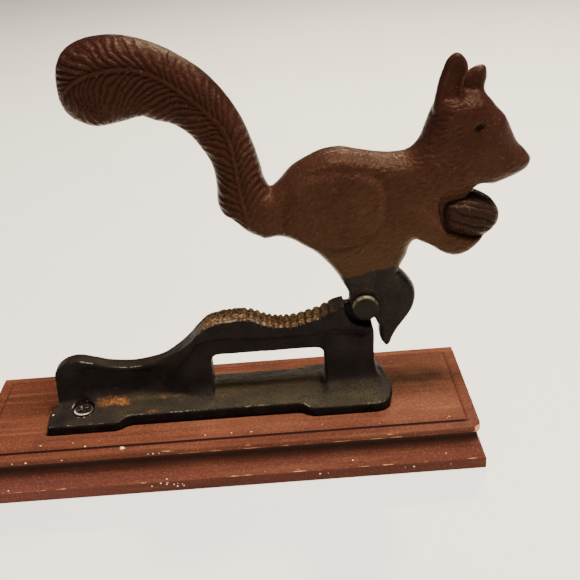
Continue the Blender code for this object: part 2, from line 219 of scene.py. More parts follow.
def blend_field(anchors, u, v):
    """Weighted mean of anchor values (u, v, reach, value...), one field for each value."""
    total = np.zeros(u.shape)
    sums = [np.zeros(u.shape) for _ in anchors[0][3:]]
    for anchor in anchors:
        au, av, reach = anchor[:3]
        weight = np.exp(-((u - au) ** 2 + (v - av) ** 2) / reach ** 2) + 1e-9
        total += weight
        for field, value in zip(sums, anchor[3:]):
            field += weight * value
    return [field / total for field in sums]


# ---------------------------------------------------------------- implicit surfaces

class Block:
    """A regular grid of sample points around a form."""

    def __init__(self, low, high, step):
        self.low = np.array(low, float)
        self.step = step
        counts = np.ceil((np.array(high) - self.low) / step).astype(int) + 1
        axes = [self.low[k] + step * np.arange(counts[k]) for k in range(3)]
        self.x = axes[0][:, None, None]
        self.y = axes[1][None, :, None]
        self.z = axes[2][None, None, :]
        self.shape = tuple(counts)

    def side_view(self):
        """2D grids of x and z."""
        u, v = np.meshgrid(self.x.ravel(), self.z.ravel(), indexing="ij")
        return u, v

    def sample(self, field, points):
        """Value of a 3D field at points, and its gradient."""
        p = (points - self.low) / self.step
        base = np.clip(np.floor(p).astype(int), 0, np.array(self.shape) - 2)
        f = p - base
        value = np.zeros(len(p))
        slope = np.zeros((len(p), 3))
        for i in (0, 1):
            for j in (0, 1):
                for k in (0, 1):
                    corner = field[base[:, 0] + i, base[:, 1] + j, base[:, 2] + k]
                    wx = f[:, 0] if i else 1.0 - f[:, 0]
                    wy = f[:, 1] if j else 1.0 - f[:, 1]
                    wz = f[:, 2] if k else 1.0 - f[:, 2]
                    value += corner * wx * wy * wz
                    slope[:, 0] += corner * (2 * i - 1) * wy * wz
                    slope[:, 1] += corner * (2 * j - 1) * wx * wz
                    slope[:, 2] += corner * (2 * k - 1) * wx * wy
        return value, slope / self.step


def surface_net(block, field):
    """Closed quad mesh where the field crosses zero; the field is negative inside."""
    inside = field < 0.0
    shape = np.array(field.shape)
    cells = tuple(shape - 1)
    ids, places, quads = [], [], []
    for axis in range(3):
        first = [slice(None)] * 3
        second = [slice(None)] * 3
        first[axis] = slice(0, -1)
        second[axis] = slice(1, None)
        a, b = field[tuple(first)], field[tuple(second)]
        index = np.argwhere(inside[tuple(first)] != inside[tuple(second)])
        others = [k for k in range(3) if k != axis]
        for k in others:
            index = index[(index[:, k] > 0) & (index[:, k] < shape[k] - 1)]
        va = a[index[:, 0], index[:, 1], index[:, 2]]
        vb = b[index[:, 0], index[:, 1], index[:, 2]]
        point = index.astype(float)
        point[:, axis] += va / (va - vb)
        ring = []
        for du, dv in ((0, 0), (-1, 0), (-1, -1), (0, -1)):
            cell = index.copy()
            cell[:, others[0]] += du
            cell[:, others[1]] += dv
            ring.append(np.ravel_multi_index(cell.T, cells))
            ids.append(ring[-1])
            places.append(point)
        ring = np.stack(ring, axis=1)
        flip = (va > 0.0) != (axis == 1)
        ring[flip] = ring[flip][:, ::-1]
        quads.append(ring)
    ids = np.concatenate(ids)
    places = np.concatenate(places)
    used, slot = np.unique(ids, return_inverse=True)
    hits = np.bincount(slot)
    verts = np.stack([np.bincount(slot, places[:, k]) / hits for k in range(3)], axis=1)
    faces = np.searchsorted(used, np.concatenate(quads))
    return block.low + verts * block.step, faces


def settle(block, field, verts, rounds=2):
    """Move points onto the surface; returns them with their outward normals."""
    for _ in range(rounds):
        value, slope = block.sample(field, verts)
        size = np.maximum((slope ** 2).sum(axis=1), 1e-6)
        move = np.clip(value / size, -block.step, block.step)
        verts = verts - slope * move[:, None] * 0.8
    _, slope = block.sample(field, verts)
    return verts, slope / np.maximum(np.linalg.norm(slope, axis=1), 1e-9)[:, None]


def pillow(distance, y, rounding, half):
    """Outline inflated to a rounded slab: half thick, rounded over a distance from its edge."""
    edge = np.maximum(0.0, 1.0 + distance / rounding)[:, None, :]
    body = np.sqrt(edge ** 2 + (y / half[:, None, :]) ** 2) - 1.0
    return body * rounding[:, None, :]


def slab(distance, y, half, radius):
    """Outline extruded to half thickness each side, its edges rounded to a radius."""
    return rounded_both(distance[:, None, :], np.abs(y) - half[:, None, :], radius)


# ---------------------------------------------------------------- meshes

def mesh_piece(name, verts, faces, body, material, masks=None):
    """A smooth-shaded mesh object from millimetre vertices, riding on a body."""
    mesh = bpy.data.meshes.new(name)
    faces = np.asarray(faces)
    mesh.vertices.add(len(verts))
    mesh.vertices.foreach_set("co", (np.asarray(verts) * MM).astype(np.float32).ravel())
    corner_count = faces.shape[1]
    mesh.loops.add(faces.size)
    mesh.loops.foreach_set("vertex_index", faces.astype(np.int32).ravel())
    mesh.polygons.add(len(faces))
    mesh.polygons.foreach_set("loop_start", np.arange(0, faces.size, corner_count, dtype=np.int32))
    mesh.update(calc_edges=True)
    mesh.validate()
    for key, values in (masks or {}).items():
        layer = mesh.attributes.new(key, "FLOAT", "POINT")
        layer.data.foreach_set("value", np.asarray(values, np.float32))
    mesh.materials.append(material)
    mesh.shade_smooth()
    piece = bpy.data.objects.new(name, mesh)
    bpy.context.scene.collection.objects.link(piece)
    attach(piece, body)
    return piece


def turned_mesh(profile, segments):
    """Vertices and quads of a profile (radius, height) turned about Z; ends close on the axis."""
    angles = np.linspace(0.0, 2.0 * math.pi, segments, endpoint=False)
    radius = np.array([p[0] for p in profile])[:, None]
    height = np.array([p[1] for p in profile])[:, None]
    verts = np.stack([radius * np.cos(angles), radius * np.sin(angles),
                      height + 0.0 * angles], axis=2).reshape(-1, 3)
    ring = np.arange(segments)
    after = (ring + 1) % segments
    faces = []
    for k in range(len(profile) - 1):
        a, b = k * segments, (k + 1) * segments
        faces.append(np.stack([a + ring, b + ring, b + after, a + after], axis=1))
    return verts, np.concatenate(faces)


# ---------------------------------------------------------------- squirrel

SQUIRREL_OUTLINE = [
    (-46.5, 155.0), (-45.4, 162.0), (-42.8, 166.4), (-38.6, 169.2), (-33.0, 170.7), (-26.0, 171.0),
    (-18.0, 169.5), (-10.0, 166.4), (-2.0, 161.5), (5.0, 156.0), (12.0, 147.3), (17.0, 138.0),
    (20.0, 129.0), (22.0, 121.0), (23.2, 114.5), (25.4, 110.6), (28.8, 112.6), (33.6, 117.4),
    (40.0, 121.0), (46.0, 123.3), (52.0, 123.8), (59.0, 122.2), (66.0, 120.8), (72.0, 120.4),
    (78.0, 121.5), (81.2, 124.6), (84.0, 130.8), (86.4, 136.6), (89.5, 141.0), (94.0, 142.0),
    (99.0, 142.0), (103.5, 141.3), (106.5, 139.0), (109.0, 135.8), (112.3, 132.0), (114.6, 127.0),
    (117.6, 121.4), (120.9, 117.9), (122.3, 115.3), (121.2, 112.7), (117.5, 110.4), (112.5, 108.6),
    (108.5, 107.2), (103.8, 107.0), (101.2, 105.6), (97.0, 101.0), (93.0, 95.0), (88.0, 90.5),
    (83.0, 88.2), (78.4, 87.1), (76.8, 85.0), (75.6, 81.0), (74.0, 78.0), (72.3, 74.9),
    (76.8, 69.9), (78.9, 65.7), (78.9, 61.5), (77.3, 56.6), (74.4, 52.4), (71.8, 48.8),
    (69.6, 44.9), (68.5, 42.2), (67.0, 41.5), (65.4, 43.4), (64.6, 46.8), (64.3, 50.6),
    (63.5, 52.3),
]
CHEEK_RADIUS = 6.3
SQUIRREL_UNDERSIDE = [
    (52.8, 66.4), (51.0, 70.2), (49.5, 74.2), (47.4, 78.2), (44.0, 82.7), (41.2, 85.6),
    (36.3, 89.1), (32.0, 91.9), (27.5, 93.2), (22.0, 92.6), (15.9, 95.9), (10.4, 101.0),
    (8.1, 102.6), (6.5, 105.4), (6.3, 114.0), (5.3, 122.5), (2.1, 128.8), (-2.0, 134.7),
    (-8.0, 139.1), (-13.3, 140.6), (-18.0, 142.4), (-25.0, 141.2), (-31.0, 140.2), (-36.0, 140.3),
    (-40.5, 142.3), (-44.0, 145.2), (-46.0, 149.7),
]
# x, z, reach, rounding distance, half thickness, growth of the outline
SQUIRREL_DEPTH = [
    (-32, 156, 14, 10.0, 8.6, 0.5), (-10, 154, 14, 9.0, 8.0, 0.6), (5, 142, 12, 8.0, 7.6, 0.6),
    (13, 124, 12, 7.0, 7.4, 0.7), (15, 106, 11, 6.5, 7.8, 0.9), (28, 101, 11, 6.0, 8.6, 0.9),
    (44, 106, 14, 6.5, 9.8, 1.0), (46, 90, 9, 5.0, 8.6, 1.0), (60, 112, 13, 6.5, 9.2, 1.0),
    (62, 95, 11, 6.0, 9.2, 0.6), (62, 84, 8, 4.5, 7.4, 0.4), (62, 75, 6, 2.4, 5.4, 0.2),
    (78, 108, 13, 6.5, 9.0, 0.8), (88, 98, 9, 5.0, 7.6, 0.2), (90, 120, 11, 7.6, 8.2, 0.7),
    (97, 131, 11, 8.4, 8.6, 0.5), (104, 120, 10, 7.4, 8.0, 0.6), (114, 117, 8, 5.5, 6.0, 0.5),
    (121, 115, 5, 4.5, 4.2, 0.3), (103, 108, 4, 4.5, 6.5, -0.3),
    (60, 62, 9, 1.4, 4.75, 0.1), (72, 66, 9, 1.5, 4.75, 0.1),
    (70, 48, 8, 1.7, 4.5, 0.1),
]
NEAR_EAR = [(86.6, 136.0), (87.4, 145.0), (89.3, 151.2), (91.4, 155.4), (94.4, 157.0), (97.1, 155.0),
            (98.4, 151.6), (96.9, 146.0), (96.2, 136.0)]
FAR_EAR = [(94.8, 137.0), (95.4, 144.0), (96.6, 147.6), (99.4, 149.2), (102.6, 150.7), (105.2, 150.7),
           (106.0, 147.2), (105.2, 143.0), (105.6, 137.0)]
ARM_OUTLINE = [(70.0, 99.0), (76.0, 91.0), (80.0, 87.6), (84.8, 84.9), (89.6, 81.6), (94.0, 80.3),
               (97.9, 81.1), (101.6, 83.6), (105.4, 87.9), (108.2, 91.2), (106.4, 93.6),
               (101.0, 90.4), (95.0, 91.6), (89.4, 95.4), (84.0, 102.0), (76.0, 106.0)]
NUT_OUTLINE = [(88.8, 101.0), (90.0, 102.9), (93.5, 103.6), (98.0, 104.0), (101.4, 103.6), (105.4, 101.8),
               (109.0, 99.2), (110.8, 96.8), (110.6, 93.4), (108.2, 90.2), (104.4, 88.2), (99.8, 88.4),
               (94.4, 90.4), (89.6, 93.2), (88.6, 96.0)]
NUT_HALF = 9.4
NUT_CENTRE = (99.6, 96.8)
NUT_TILT = math.radians(-20.0)
NUT_RIDGES = 17
SEAT_RISE = 2.6
QUILL = [(17.5, 97.0), (15.0, 108.0), (14.0, 116.0), (13.4, 124.0), (12.3, 131.5), (10.0, 137.5),
         (6.4, 142.0), (2.6, 146.4), (-2.2, 151.0), (-8.0, 155.4), (-14.0, 158.8), (-20.5, 160.6),
         (-28.0, 160.6), (-35.0, 159.2), (-41.0, 156.2), (-46.0, 151.0)]
HAUNCH = [(30.0, 106.0), (36.0, 114.6), (45.0, 117.6), (56.0, 117.2), (64.5, 114.0), (67.0, 107.0),
          (66.4, 100.0), (62.0, 93.5), (54.0, 90.0), (44.0, 90.0), (34.0, 96.0)]
EYE = np.array([101.8, 130.8])
EYE_RADIUS = 1.25
SLOT_HALF = 2.35
SLOT_RADIUS = 8.1
BORE_RADIUS = 2.75
SEAT_HALF = 6.2         # the nut's seat begins this far from the middle plane
THROAT = (-8.0, 4.9)    # reach of the fork's slot along x, from the rivet
FORK_REACH = 13.0       # the fork's inner faces stay smooth within this reach of the rivet
FORK_INSIDE = 3.4       # and this close to the middle plane
PAINT_LINE = 74.4       # where black paint gives way to brown, at x = 52
FUR_LOW, FUR_SIZE, FUR_PITCH = (0.0, 66.0), (126.0, 78.0), 0.2
FUR_SEEDS = (5, 6)      # near side, far side


def nut_ridges(x, y, z, wobble):
    """Relief of the shell's ridges, which run from end to end and fade at the ends."""
    c, s = math.cos(NUT_TILT), math.sin(NUT_TILT)
    along = (x - NUT_CENTRE[0]) * c + (z - NUT_CENTRE[1]) * s
    across = (z - NUT_CENTRE[1]) * c - (x - NUT_CENTRE[0]) * s
    turn = np.arctan2(y / NUT_HALF, across / 8.2) * NUT_RIDGES / (2.0 * math.pi) + wobble
    fold = 1.0 - np.abs(2.0 * (turn - np.floor(turn)) - 1.0)
    return (1.0 - (1.0 - fold) ** 2) * smoothstep(11.5, 7.0, np.abs(along))


def squirrel_field(block):
    """Field of the whole squirrel casting, and that of its nut alone."""
    u, v = block.side_view()
    turn = arc((PIVOT[0], PIVOT[2]), CHEEK_RADIUS, -64.0, -196.0, 12)
    outline = SQUIRREL_OUTLINE + turn + SQUIRREL_UNDERSIDE
    notch = SQUIRREL_OUTLINE.index((72.3, 74.9))
    corner = len(SQUIRREL_OUTLINE) + len(turn) + SQUIRREL_UNDERSIDE.index((22.0, 92.6))
    shape = smooth_outline(outline, corners=(notch, corner), per_segment=4)
    rounding, half, growth = blend_field(SQUIRREL_DEPTH, u, v)
    haunch = curve_gap(HAUNCH, u, v)
    half = half + 1.0 * smoothstep(0.9, -2.6, haunch) - 0.35 * bell(haunch - 1.0, 1.3)
    field = pillow(signed_distance(shape, u, v) - growth, block.y, rounding, half)

    for ear, centre, thick in ((NEAR_EAR, -3.0, 2.6), (FAR_EAR, 1.9, 2.8)):
        gap = curve_gap(ear, u, v)
        flat = pillow(gap, block.y - centre, np.full(u.shape, 2.6), np.full(u.shape, thick))
        middle = smoothstep(-1.2, -3.4, gap) * smoothstep(139.0, 143.0, v)
        hollow = 2.3 * middle[:, None, :] * bell(block.y - centre * 1.9, 1.6)
        field = smooth_union(field, flat + hollow, 1.6)

    arm = curve_gap(ARM_OUTLINE, u, v)
    spread = np.abs(block.y) - 4.0
    arms = pillow(arm, np.where(spread > 0.0, spread, spread * 0.9),
                  np.full(u.shape, 3.6), np.full(u.shape, 4.4))
    shell = curve_gap(NUT_OUTLINE, u, v)
    nut = pillow(shell, block.y, np.full(u.shape, 4.0), np.full(u.shape, NUT_HALF))
    field = smooth_union(field, arms, 1.2)
    raised = curve_gap(NUT_OUTLINE, u, v - SEAT_RISE)
    seat = np.maximum(np.minimum(shell, raised - 0.5)[:, None, :], SEAT_HALF - np.abs(block.y))
    field = smooth_cut(field, seat, 2.0)
    field = smooth_union(field, nut, 0.8)

    reach = np.sqrt((block.x - PIVOT[0]) ** 2 + (block.z - PIVOT[2]) ** 2)
    throat = np.maximum(block.x - (PIVOT[0] + THROAT[1]), block.z - PIVOT[2])
    throat = np.maximum(throat, PIVOT[0] + THROAT[0] - block.x)
    slot = np.maximum(np.minimum(reach - SLOT_RADIUS, throat), np.abs(block.y) - SLOT_HALF)
    field = np.maximum(field, -slot)
    return np.maximum(field, BORE_RADIUS - reach), nut


def fur_map(seed, low, size, pitch):
    """Height map of short combed locks in the side view, each with a groove beside it."""
    rng = np.random.default_rng(seed)
    counts = (int(size[0] / pitch), int(size[1] / pitch))
    heights = np.zeros(counts, np.float32)
    reach = int(2.8 / pitch)
    grid = np.arange(-reach, reach + 1) * pitch
    gu, gv = np.meshgrid(grid, grid, indexing="ij")
    strokes = int(size[0] * size[1] / 2.6)
    centres = rng.random((strokes, 2)) * np.array(size)
    jitter = rng.normal(0.0, 0.22, strokes)
    lengths = rng.uniform(1.3, 2.5, strokes)
    widths = rng.uniform(0.32, 0.5, strokes)
    depths = rng.uniform(0.5, 1.0, strokes)
    for (cu, cv), wobble, length, width, depth in zip(centres, jitter, lengths, widths, depths):
        x, z = low[0] + cu, low[1] + cv
        angle = stroke_angle(x, z) + wobble
        ca, sa = math.cos(angle), math.sin(angle)
        i, j = int(cu / pitch), int(cv / pitch)
        i0, i1 = max(0, i - reach), min(counts[0], i + reach + 1)
        j0, j1 = max(0, j - reach), min(counts[1], j + reach + 1)
        au = gu[i0 - i + reach:i1 - i + reach, j0 - j + reach:j1 - j + reach]
        av = gv[i0 - i + reach:i1 - i + reach, j0 - j + reach:j1 - j + reach]
        run = (au * ca + av * sa) / length
        across = (av * ca - au * sa) / width
        stroke = depth * np.maximum(0.0, 1.0 - run * run) * (
            1.3 * np.exp(-across * across) - 0.5 * np.exp(-(across - 1.6) ** 2))
        part = heights[i0:i1, j0:j1]
        part[:] = np.where(np.abs(stroke) > np.abs(part), stroke, part)
    return heights


def stroke_angle(x, z):
    """Lie of the fur in the side view: steeper on the haunch, level towards the neck."""
    haunch = math.exp(-((x - 34.0) / 26.0) ** 2)
    neck = math.exp(-((x - 92.0) / 16.0) ** 2)
    return 0.16 + 0.62 * haunch + 0.25 * neck * (z - 120.0) / 30.0


def read_map(heights, low, pitch, u, v):
    """Bilinear look-up of a height map."""
    p = np.clip((u - low[0]) / pitch, 0, heights.shape[0] - 1.001)
    q = np.clip((v - low[1]) / pitch, 0, heights.shape[1] - 1.001)
    i, j = p.astype(int), q.astype(int)
    f, g = p - i, q - j
    return (heights[i, j] * (1 - f) * (1 - g) + heights[i + 1, j] * f * (1 - g)
            + heights[i, j + 1] * (1 - f) * g + heights[i + 1, j + 1] * f * g)


def tail_share(u, v):
    """1 on the tail, falling to 0 where it joins the rump."""
    return smoothstep(5.0, -5.0, (u - 21.0) * 0.75 - (v - 106.0) * 0.55)


def barb_height(place, offset, noise_value):
    """Relief of the quill and its swept barbs, from tail coordinates."""
    side = np.abs(offset)
    swept = place - 5.2 * (1.0 - np.exp(-side / 3.0)) - 0.5 * side
    phase = swept / 3.0 + 0.55 * noise_value + 0.2 * np.sign(offset)
    fold = 1.0 - np.abs(2.0 * (phase - np.floor(phase)) - 1.0)
    fine_phase = swept / 1.1 + 1.3 * noise_value
    fine = 0.5 + 0.5 * np.cos(2.0 * math.pi * fine_phase)
    barbs = (0.62 * fold ** 1.7 + 0.16 * fine) * smoothstep(0.3, 1.6, side)
    quill = 0.55 * bell(offset, 0.6) - 0.2 * bell(side - 1.3, 0.5)
    return barbs + quill


def eye_form(x, z, on_side):
    """Mask and relief of the eye: a ball in a ringed socket, under a curved brow."""
    du, dv = x - EYE[0], z - EYE[1]
    gap = np.hypot(du * 0.78, dv - 0.22 * du) / EYE_RADIUS
    ball = 0.2 * np.sqrt(np.maximum(0.0, 1.0 - gap ** 2)) - 0.6 * np.exp(-(gap / 1.2) ** 4)
    brow = bell(du + 0.5, 3.0) * bell(dv - 2.6 + 0.1 * du ** 2, 0.9)
    return smoothstep(1.15, 0.85, gap) * on_side, (ball + 0.35 * brow) * on_side


def make_squirrel(materials):
    """The squirrel casting: surface, relief, and masks for paint and for painted highlight and shade on the
    relief.
    """
    step = 0.43
    block = Block((-49.5, -13.0, 40.0), (125.5, 13.0, 173.5), step)
    field, nut_field = squirrel_field(block)
    verts, faces = surface_net(block, field)
    verts, normals = settle(block, field, verts)
    x, y, z = verts.T
    sideways = np.abs(normals[:, 1])

    rough = Noise(11)
    coarse = rough(verts, 5.0)
    grain = rough(verts + 50.0, 1.1)

    quill = smooth_outline(QUILL, per_segment=6, closed=False)
    place, offset = along_line(quill, x, z)
    tail = tail_share(x, z)
    stray = rough(verts * (1, 0, 1), 7.0) + 0.45 * rough(verts * (1, 0, 1) + 30.0, 2.6)
    tail_relief = barb_height(place, offset, stray)
    tail_relief = tail_relief * smoothstep(0.2, 0.85, sideways) - 0.2

    fur = np.where(y < 0.0, *(
        read_map(fur_map(seed, FUR_LOW, FUR_SIZE, FUR_PITCH), FUR_LOW, FUR_PITCH, x, z)
        for seed in FUR_SEEDS))
    fur_share = (1.0 - tail) * smoothstep(74.0, 79.0, z) * smoothstep(0.45, 0.9, sideways)
    face = smoothstep(16.0, 10.0, np.hypot(x - 108.0, z - 124.0))
    ears = smoothstep(137.0, 141.0, z) * smoothstep(80.0, 84.0, x)
    nut = smoothstep(0.5, 0.1, block.sample(nut_field, verts)[0])
    fur_share = fur_share * (1.0 - 0.9 * face) * (1.0 - ears) * (1.0 - nut)

    nut_relief = 0.55 * nut_ridges(x, y, z, 0.25 * rough(verts + 9.0, 4.0))

    eye, eye_relief = eye_form(x, z, sideways > 0.5)

    height = (0.2 * fur * fur_share + tail * tail_relief + nut * nut_relief + eye_relief
              + 0.09 * coarse + 0.04 * grain)
    fork = np.hypot(x - PIVOT[0], z - PIVOT[2]) < FORK_REACH
    fork &= (sideways > 0.5) & (np.abs(y) < FORK_INSIDE)
    height = np.where(fork, 0.0, height)
    verts = verts + normals * height[:, None]

    paint_line = PAINT_LINE + 0.17 * (x - 52.0) - 0.35 * (5.0 - np.minimum(np.abs(y), 5.0))
    black = smoothstep(0.35, -0.35, z - paint_line - 0.7 * rough(verts, 2.4))
    masks = {
        "black": np.maximum(black, eye),
        "eye": eye,
        # Relief height, which the material turns into painted highlight on ridge tops and painted shade in
        # grooves.
        "relief": np.clip(0.5 + 0.35 * fur * fur_share + tail * (tail_relief - 0.05)
                          + nut * (nut_relief - 0.45), 0.0, 1.0),
        "nut": nut,
        "low": smoothstep(150.0, 80.0, z + 0.12 * np.maximum(0.0, x - 70.0)) * (1.0 - 0.6 * tail),
    }
    piece = mesh_piece("squirrel_casting", verts, faces, "lever",
                       materials["squirrel"], masks)
    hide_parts("squirrel")
    return piece


# ---------------------------------------------------------------- stand

STAND_PROFILE = [
    (-68.2, 22.0), (-68.1, 34.0), (-67.5, 39.8), (-63.6, 43.5), (-58.5, 44.9), (-52.5, 43.7),
    (-45.0, 41.5), (-36.5, 40.6), (-29.5, 41.3), (-23.5, 42.8), (-18.0, 45.5), (-11.8, 49.9),
    (-7.5, 54.4), (-3.6, 57.5), (0.2, 58.7), (5.0, 59.2), (10.5, 59.5), (14.5, 58.7),
    (17.5, 57.1), (21.5, 55.7), (26.5, 54.9), (31.0, 55.1), (35.0, 56.2), (40.0, 57.5),
    (45.0, 59.8), (50.0, 61.3), (54.5, 61.2), (58.0, 57.0), (61.5, 52.0), (61.8, 42.0),
    (61.9, 36.0), (62.6, 31.8), (64.3, 28.4), (66.2, 26.0), (67.4, 22.0),
]
WINDOW_LEFT, WINDOW_RIGHT, WINDOW_TOP, WINDOW_ROUND = -3.9, 41.8, 43.7, 3.4
STEP_LINE = [(-19.0, 24.0), (-18.0, 38.0), (-12.5, 44.0), (-9.0, 48.6), (-4.0, 50.4), (2.0, 50.4),
             (20.0, 49.4), (36.0, 49.4), (43.0, 50.4), (46.0, 51.8), (50.0, 50.6), (60.0, 49.6)]
RECESS = [(-57.4, 29.0), (-58.2, 36.5), (-57.2, 41.0), (-54.0, 41.8), (-50.0, 41.0), (-44.0, 39.3),
          (-36.5, 38.6), (-29.5, 39.3), (-24.0, 40.7), (-20.5, 41.8), (-19.6, 36.0), (-21.0, 28.0),
          (-42.0, 27.5)]
FLANGE = [
    (-71.2, -9.0), (-71.2, -16.2), (-70.6, -16.8), (-44.0, -16.8), (-41.6, -15.9), (-39.8, -14.2),
    (-37.4, -13.5), (29.6, -13.5), (32.2, -14.1), (33.8, -15.7), (36.4, -16.8), (61.6, -16.8),
    (64.6, -16.0), (66.8, -13.8), (67.6, -10.8), (67.8, -6.0), (66.6, -2.6), (65.0, 0.8),
    (63.4, 6.0), (61.8, 11.0), (59.4, 14.8), (55.0, 16.8), (36.4, 16.8), (33.8, 15.7),
    (32.2, 14.1), (29.6, 13.5), (-37.4, 13.5),
    (-39.8, 14.2), (-41.6, 15.9), (-44.0, 16.8), (-62.0, 16.8), (-68.0, 10.0), (-68.0, -5.0),
]
RIDGE_HEIGHT = 27.3
RIDGE_FALL = 0.26
RIB_GROOVES = (12.4, 15.1, 17.6, 19.9, 22.1, 24.3, 26.5, 28.9, 31.8, 34.9, 38.0, 41.2, 44.3)
RECESS_RADIUS = 8.2
TONGUE_HALF = 2.0
WEB_HALF = 5.7          # half thickness of the web above the step line
STEP_HALF = 4.9         # below it
POST_HALF = 5.9
RECESS_HALF = 2.2       # inside the hump's recessed sides
RIM_HEIGHT = 1.1        # of the rim round them
RIB_DEPTH = 0.7
FLANGE_ROUND = 0.8
EYE_OUTER = 6.0
STAND_BORE = 2.75
SCREWS = ("screw_front_left", "screw_back_right")


def rib_gap(x):
    """Distance to the nearest groove between the saddle's ribs."""
    gap = np.full(np.shape(x), 1e3)
    for groove in RIB_GROOVES:
        gap = np.minimum(gap, np.abs(x - groove))
    return gap


def screw_place(name):
    """Centre of a screw, the height of its top and the radius of its head."""
    low, high = node_box(name)
    return (low + high) / 2.0, high[2], (high[0] - low[0]) / 2.0


def stand_field(block):
    """Field of the stand: foot plate, web, tongue and all holes."""
    u, v = block.side_view()
    x, y, z = block.x, block.y, block.z
    plan_u, plan_v = np.meshgrid(x.ravel(), y.ravel(), indexing="ij")
    floor = node_box("stand")[0][2]

    plan = signed_distance(np.array(FLANGE), plan_u, plan_v)[:, :, None]
    roof = z - (RIDGE_HEIGHT - RIDGE_FALL * np.sqrt(y * y + 1.0) + 0.25)
    flange = np.maximum(rounded_both(plan, roof, FLANGE_ROUND), floor - z)

    last = len(STAND_PROFILE) - 1
    profile = signed_distance(smooth_outline(STAND_PROFILE, corners=(0, last), per_segment=4), u, v)
    middle = (WINDOW_LEFT + WINDOW_RIGHT) / 2.0
    out = np.abs(u - middle) - (WINDOW_RIGHT - middle)
    window = rounded_both(out, v - WINDOW_TOP, WINDOW_ROUND)
    side = np.maximum(profile, -window)
    groove = 1.0 - smoothstep(0.0, 0.8, rib_gap(u))
    side = side + RIB_DEPTH * groove * smoothstep(-3.0, -0.8, profile) * (v > 50.0)

    hump = smoothstep(-10.0, -24.0, u)
    recess = curve_gap(RECESS, u, v)
    fade = 0.9 + 5.0 * smoothstep(-34.0, -24.0, u) + 2.5 * smoothstep(37.5, 33.0, v)
    fade = fade + 2.6 * smoothstep(-52.0, -57.0, u)
    rim = smoothstep(-1.0, 0.3, recess / fade)
    under = signed_distance(np.array(STEP_LINE + [(60.0, 20.0), (-19.0, 20.0)]), u, v)
    lower = smoothstep(0.5, -0.5, under)
    post = smoothstep(40.5, 43.0, u) * smoothstep(50.0, 47.0, v)
    half = (WEB_HALF * (1.0 - lower) + STEP_HALF * lower) * (1.0 - hump)
    half = half + (RECESS_HALF + RIM_HEIGHT * rim) * hump
    half = half - 0.35 * bell(under - 0.2, 0.6) * (1.0 - hump)
    half = half * (1.0 - post) + POST_HALF * post
    half = half - 0.6 * groove * smoothstep(-2.6, -0.8, profile) * (v > 50.0)
    flare = (0.8 + 1.6 * smoothstep(-20.0, -6.0, u)) * smoothstep(34.0, 25.0, v) ** 2
    web = slab(side, y, half + flare, 0.9)
    blend = 1.8 + 2.6 * smoothstep(37.0, 42.0, u)[:, None, :]
    field = smooth_union(flange, web, blend)

    reach = np.sqrt((x - PIVOT[0]) ** 2 + (z - PIVOT[2]) ** 2)
    lug = np.maximum(reach - EYE_OUTER, np.abs(y) - TONGUE_HALF)
    cut = np.maximum(reach - RECESS_RADIUS, TONGUE_HALF - np.abs(y))
    above = np.maximum(PIVOT[0] - 1.0 - x, PIVOT[2] - 8.6 - z)
    cut = np.minimum(cut, np.maximum(above, TONGUE_HALF - np.abs(y)))
    field = np.maximum(field, -cut)
    field = np.minimum(field, lug)
    field = np.maximum(field, STAND_BORE - reach)
    for name in SCREWS:
        centre, top_z, radius = screw_place(name)
        head = radius + 0.35
        ring = np.sqrt((x - centre[0]) ** 2 + (y - centre[1]) ** 2)
        sink = np.maximum(ring - head - 0.3 * smoothstep(0.0, 0.7, z - top_z + 0.2), top_z - 0.7 - z)
        cone = np.maximum(ring - head - np.minimum(0.0, z - top_z + 0.5) * 0.9, top_z - 3.2 - z)
        shank = ring - 2.5
        field = smooth_cut(field, np.minimum(np.minimum(sink, cone), shank), 0.25)
    return field


